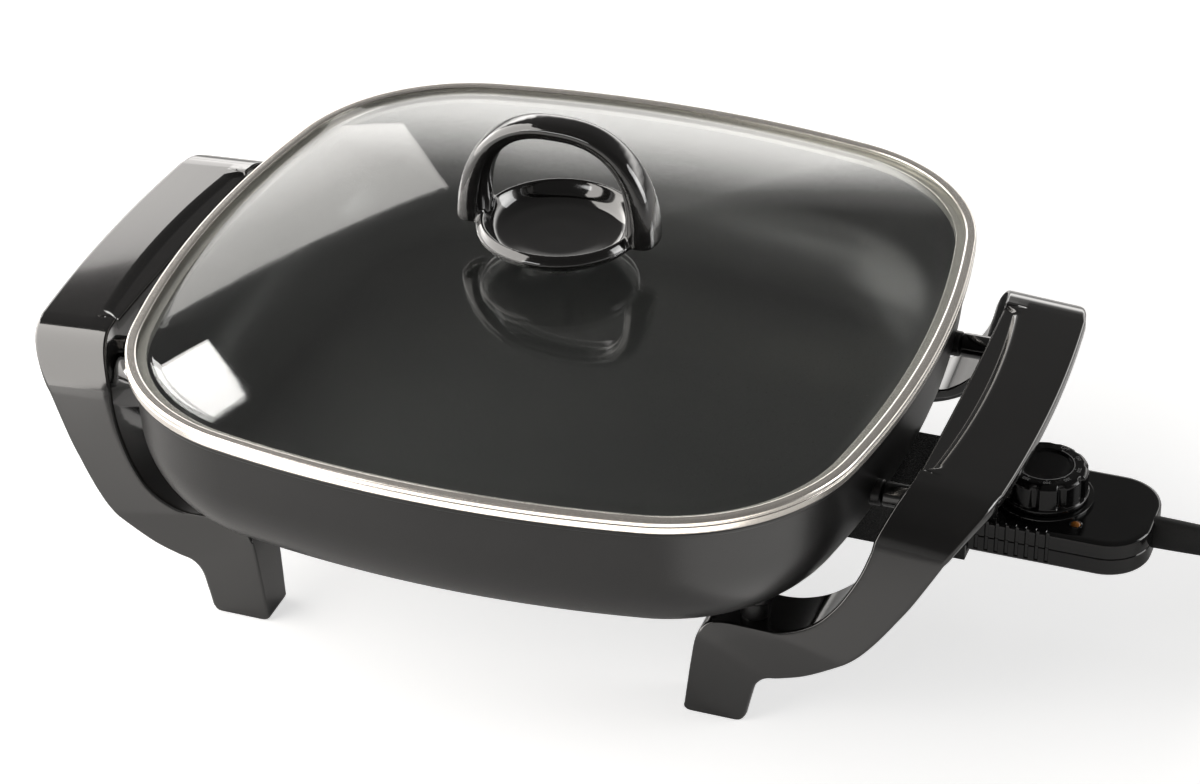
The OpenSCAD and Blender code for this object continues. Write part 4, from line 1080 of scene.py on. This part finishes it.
def softbox(name, place, aim, wide, tall, watts, colour=(1, 1, 1), only=None):
    """A rectangular lamp. With only, it lights that one piece."""
    lamp = bpy.data.lights.new(name, "AREA")
    lamp.shape = "RECTANGLE"
    lamp.size, lamp.size_y = wide, tall
    lamp.energy = watts
    lamp.color = colour
    obj = bpy.data.objects.new(name, lamp)
    bpy.context.scene.collection.objects.link(obj)
    obj.location = place
    obj.rotation_euler = (Vector(aim) - Vector(place)).to_track_quat("-Z", "Y").to_euler()
    if only:
        lit = bpy.data.collections.new(name + "_lights_only")
        lit.objects.link(bpy.data.objects[only])
        obj.light_linking.receiver_collection = lit
    return obj


def make_lamps():
    softbox("left_wall", (-1.0, -0.65, 0.91), (0, -0.65, 0.85), 2.5, 1.6, 42, (1, 0.965, 0.925))
    softbox("left_low", (-1.0, -0.65, 0.06), (0, -0.65, 0.06), 2.5, 0.12, 1.6, (1, 0.97, 0.93))
    softbox("back_left", (-1.13, 1.52, 0.735), (-0.17, 0.02, 0.1), 0.5, 0.34, 0.85, (1, 0.97, 0.94))
    softbox("near_left", (-1.0, 0.95, 1.22), (0, 0.95, 1.22), 0.15, 0.53, 2.1, (1, 0.98, 0.96),
            only="lid_glass_pane")
    softbox("dish_fill", (-0.5, -1.46, 0.57), (-0.04, 0, 0.14), 0.7, 0.26, 2.4, only="knob_moulding")
    softbox("right_card", (1.5, 0.5, 0.5), (0, 0, 0.1), 0.7, 0.9, 7)
    band = softbox("band_fill", (0.05, -0.42, 0.003), (0.05, -0.42, 1), 0.7, 0.42, 1.9, (1, 0.94, 0.86),
                   only="lid_band")
    sheen = softbox("pan_sheen", (0.2, -0.15, 0.003), (0.2, -0.15, 1), 0.22, 0.24, 0.12, (1, 0.98, 0.95),
                    only="pan_wall")
    band.visible_camera = sheen.visible_camera = False


# the camera's aim in the skillet's frame, its distance in metres and its angles in degrees
AIM, DISTANCE, LENS = (15.56, 0, 64.25), 1.45414, 112.24
YAW, PITCH_DOWN, ROLL = 20.302, 32.805, -0.719


def make_camera():
    data = bpy.data.cameras.new("camera")
    data.sensor_width = 36.0
    data.lens = LENS
    data.clip_start, data.clip_end = 0.05, 30
    cam = bpy.data.objects.new("camera", data)
    bpy.context.scene.collection.objects.link(cam)
    yaw, pitch, roll = math.radians(YAW), math.radians(PITCH_DOWN), math.radians(ROLL)
    level = Vector((-math.sin(yaw), math.cos(yaw), 0))
    side = Vector((math.cos(yaw), math.sin(yaw), 0))
    look = level * math.cos(pitch) - Vector((0, 0, 1)) * math.sin(pitch)
    lift = side.cross(look)
    right = side * math.cos(roll) + lift * math.sin(roll)
    up = -side * math.sin(roll) + lift * math.cos(roll)
    turn = Matrix((right, up, -look)).transposed().to_4x4()
    cam.matrix_world = Matrix.Translation(Vector(row(AIM)) - look * DISTANCE) @ turn
    bpy.context.scene.camera = cam


make_floor()
make_world()
make_lamps()
make_camera()
bpy.context.scene.view_settings.view_transform = "Standard"
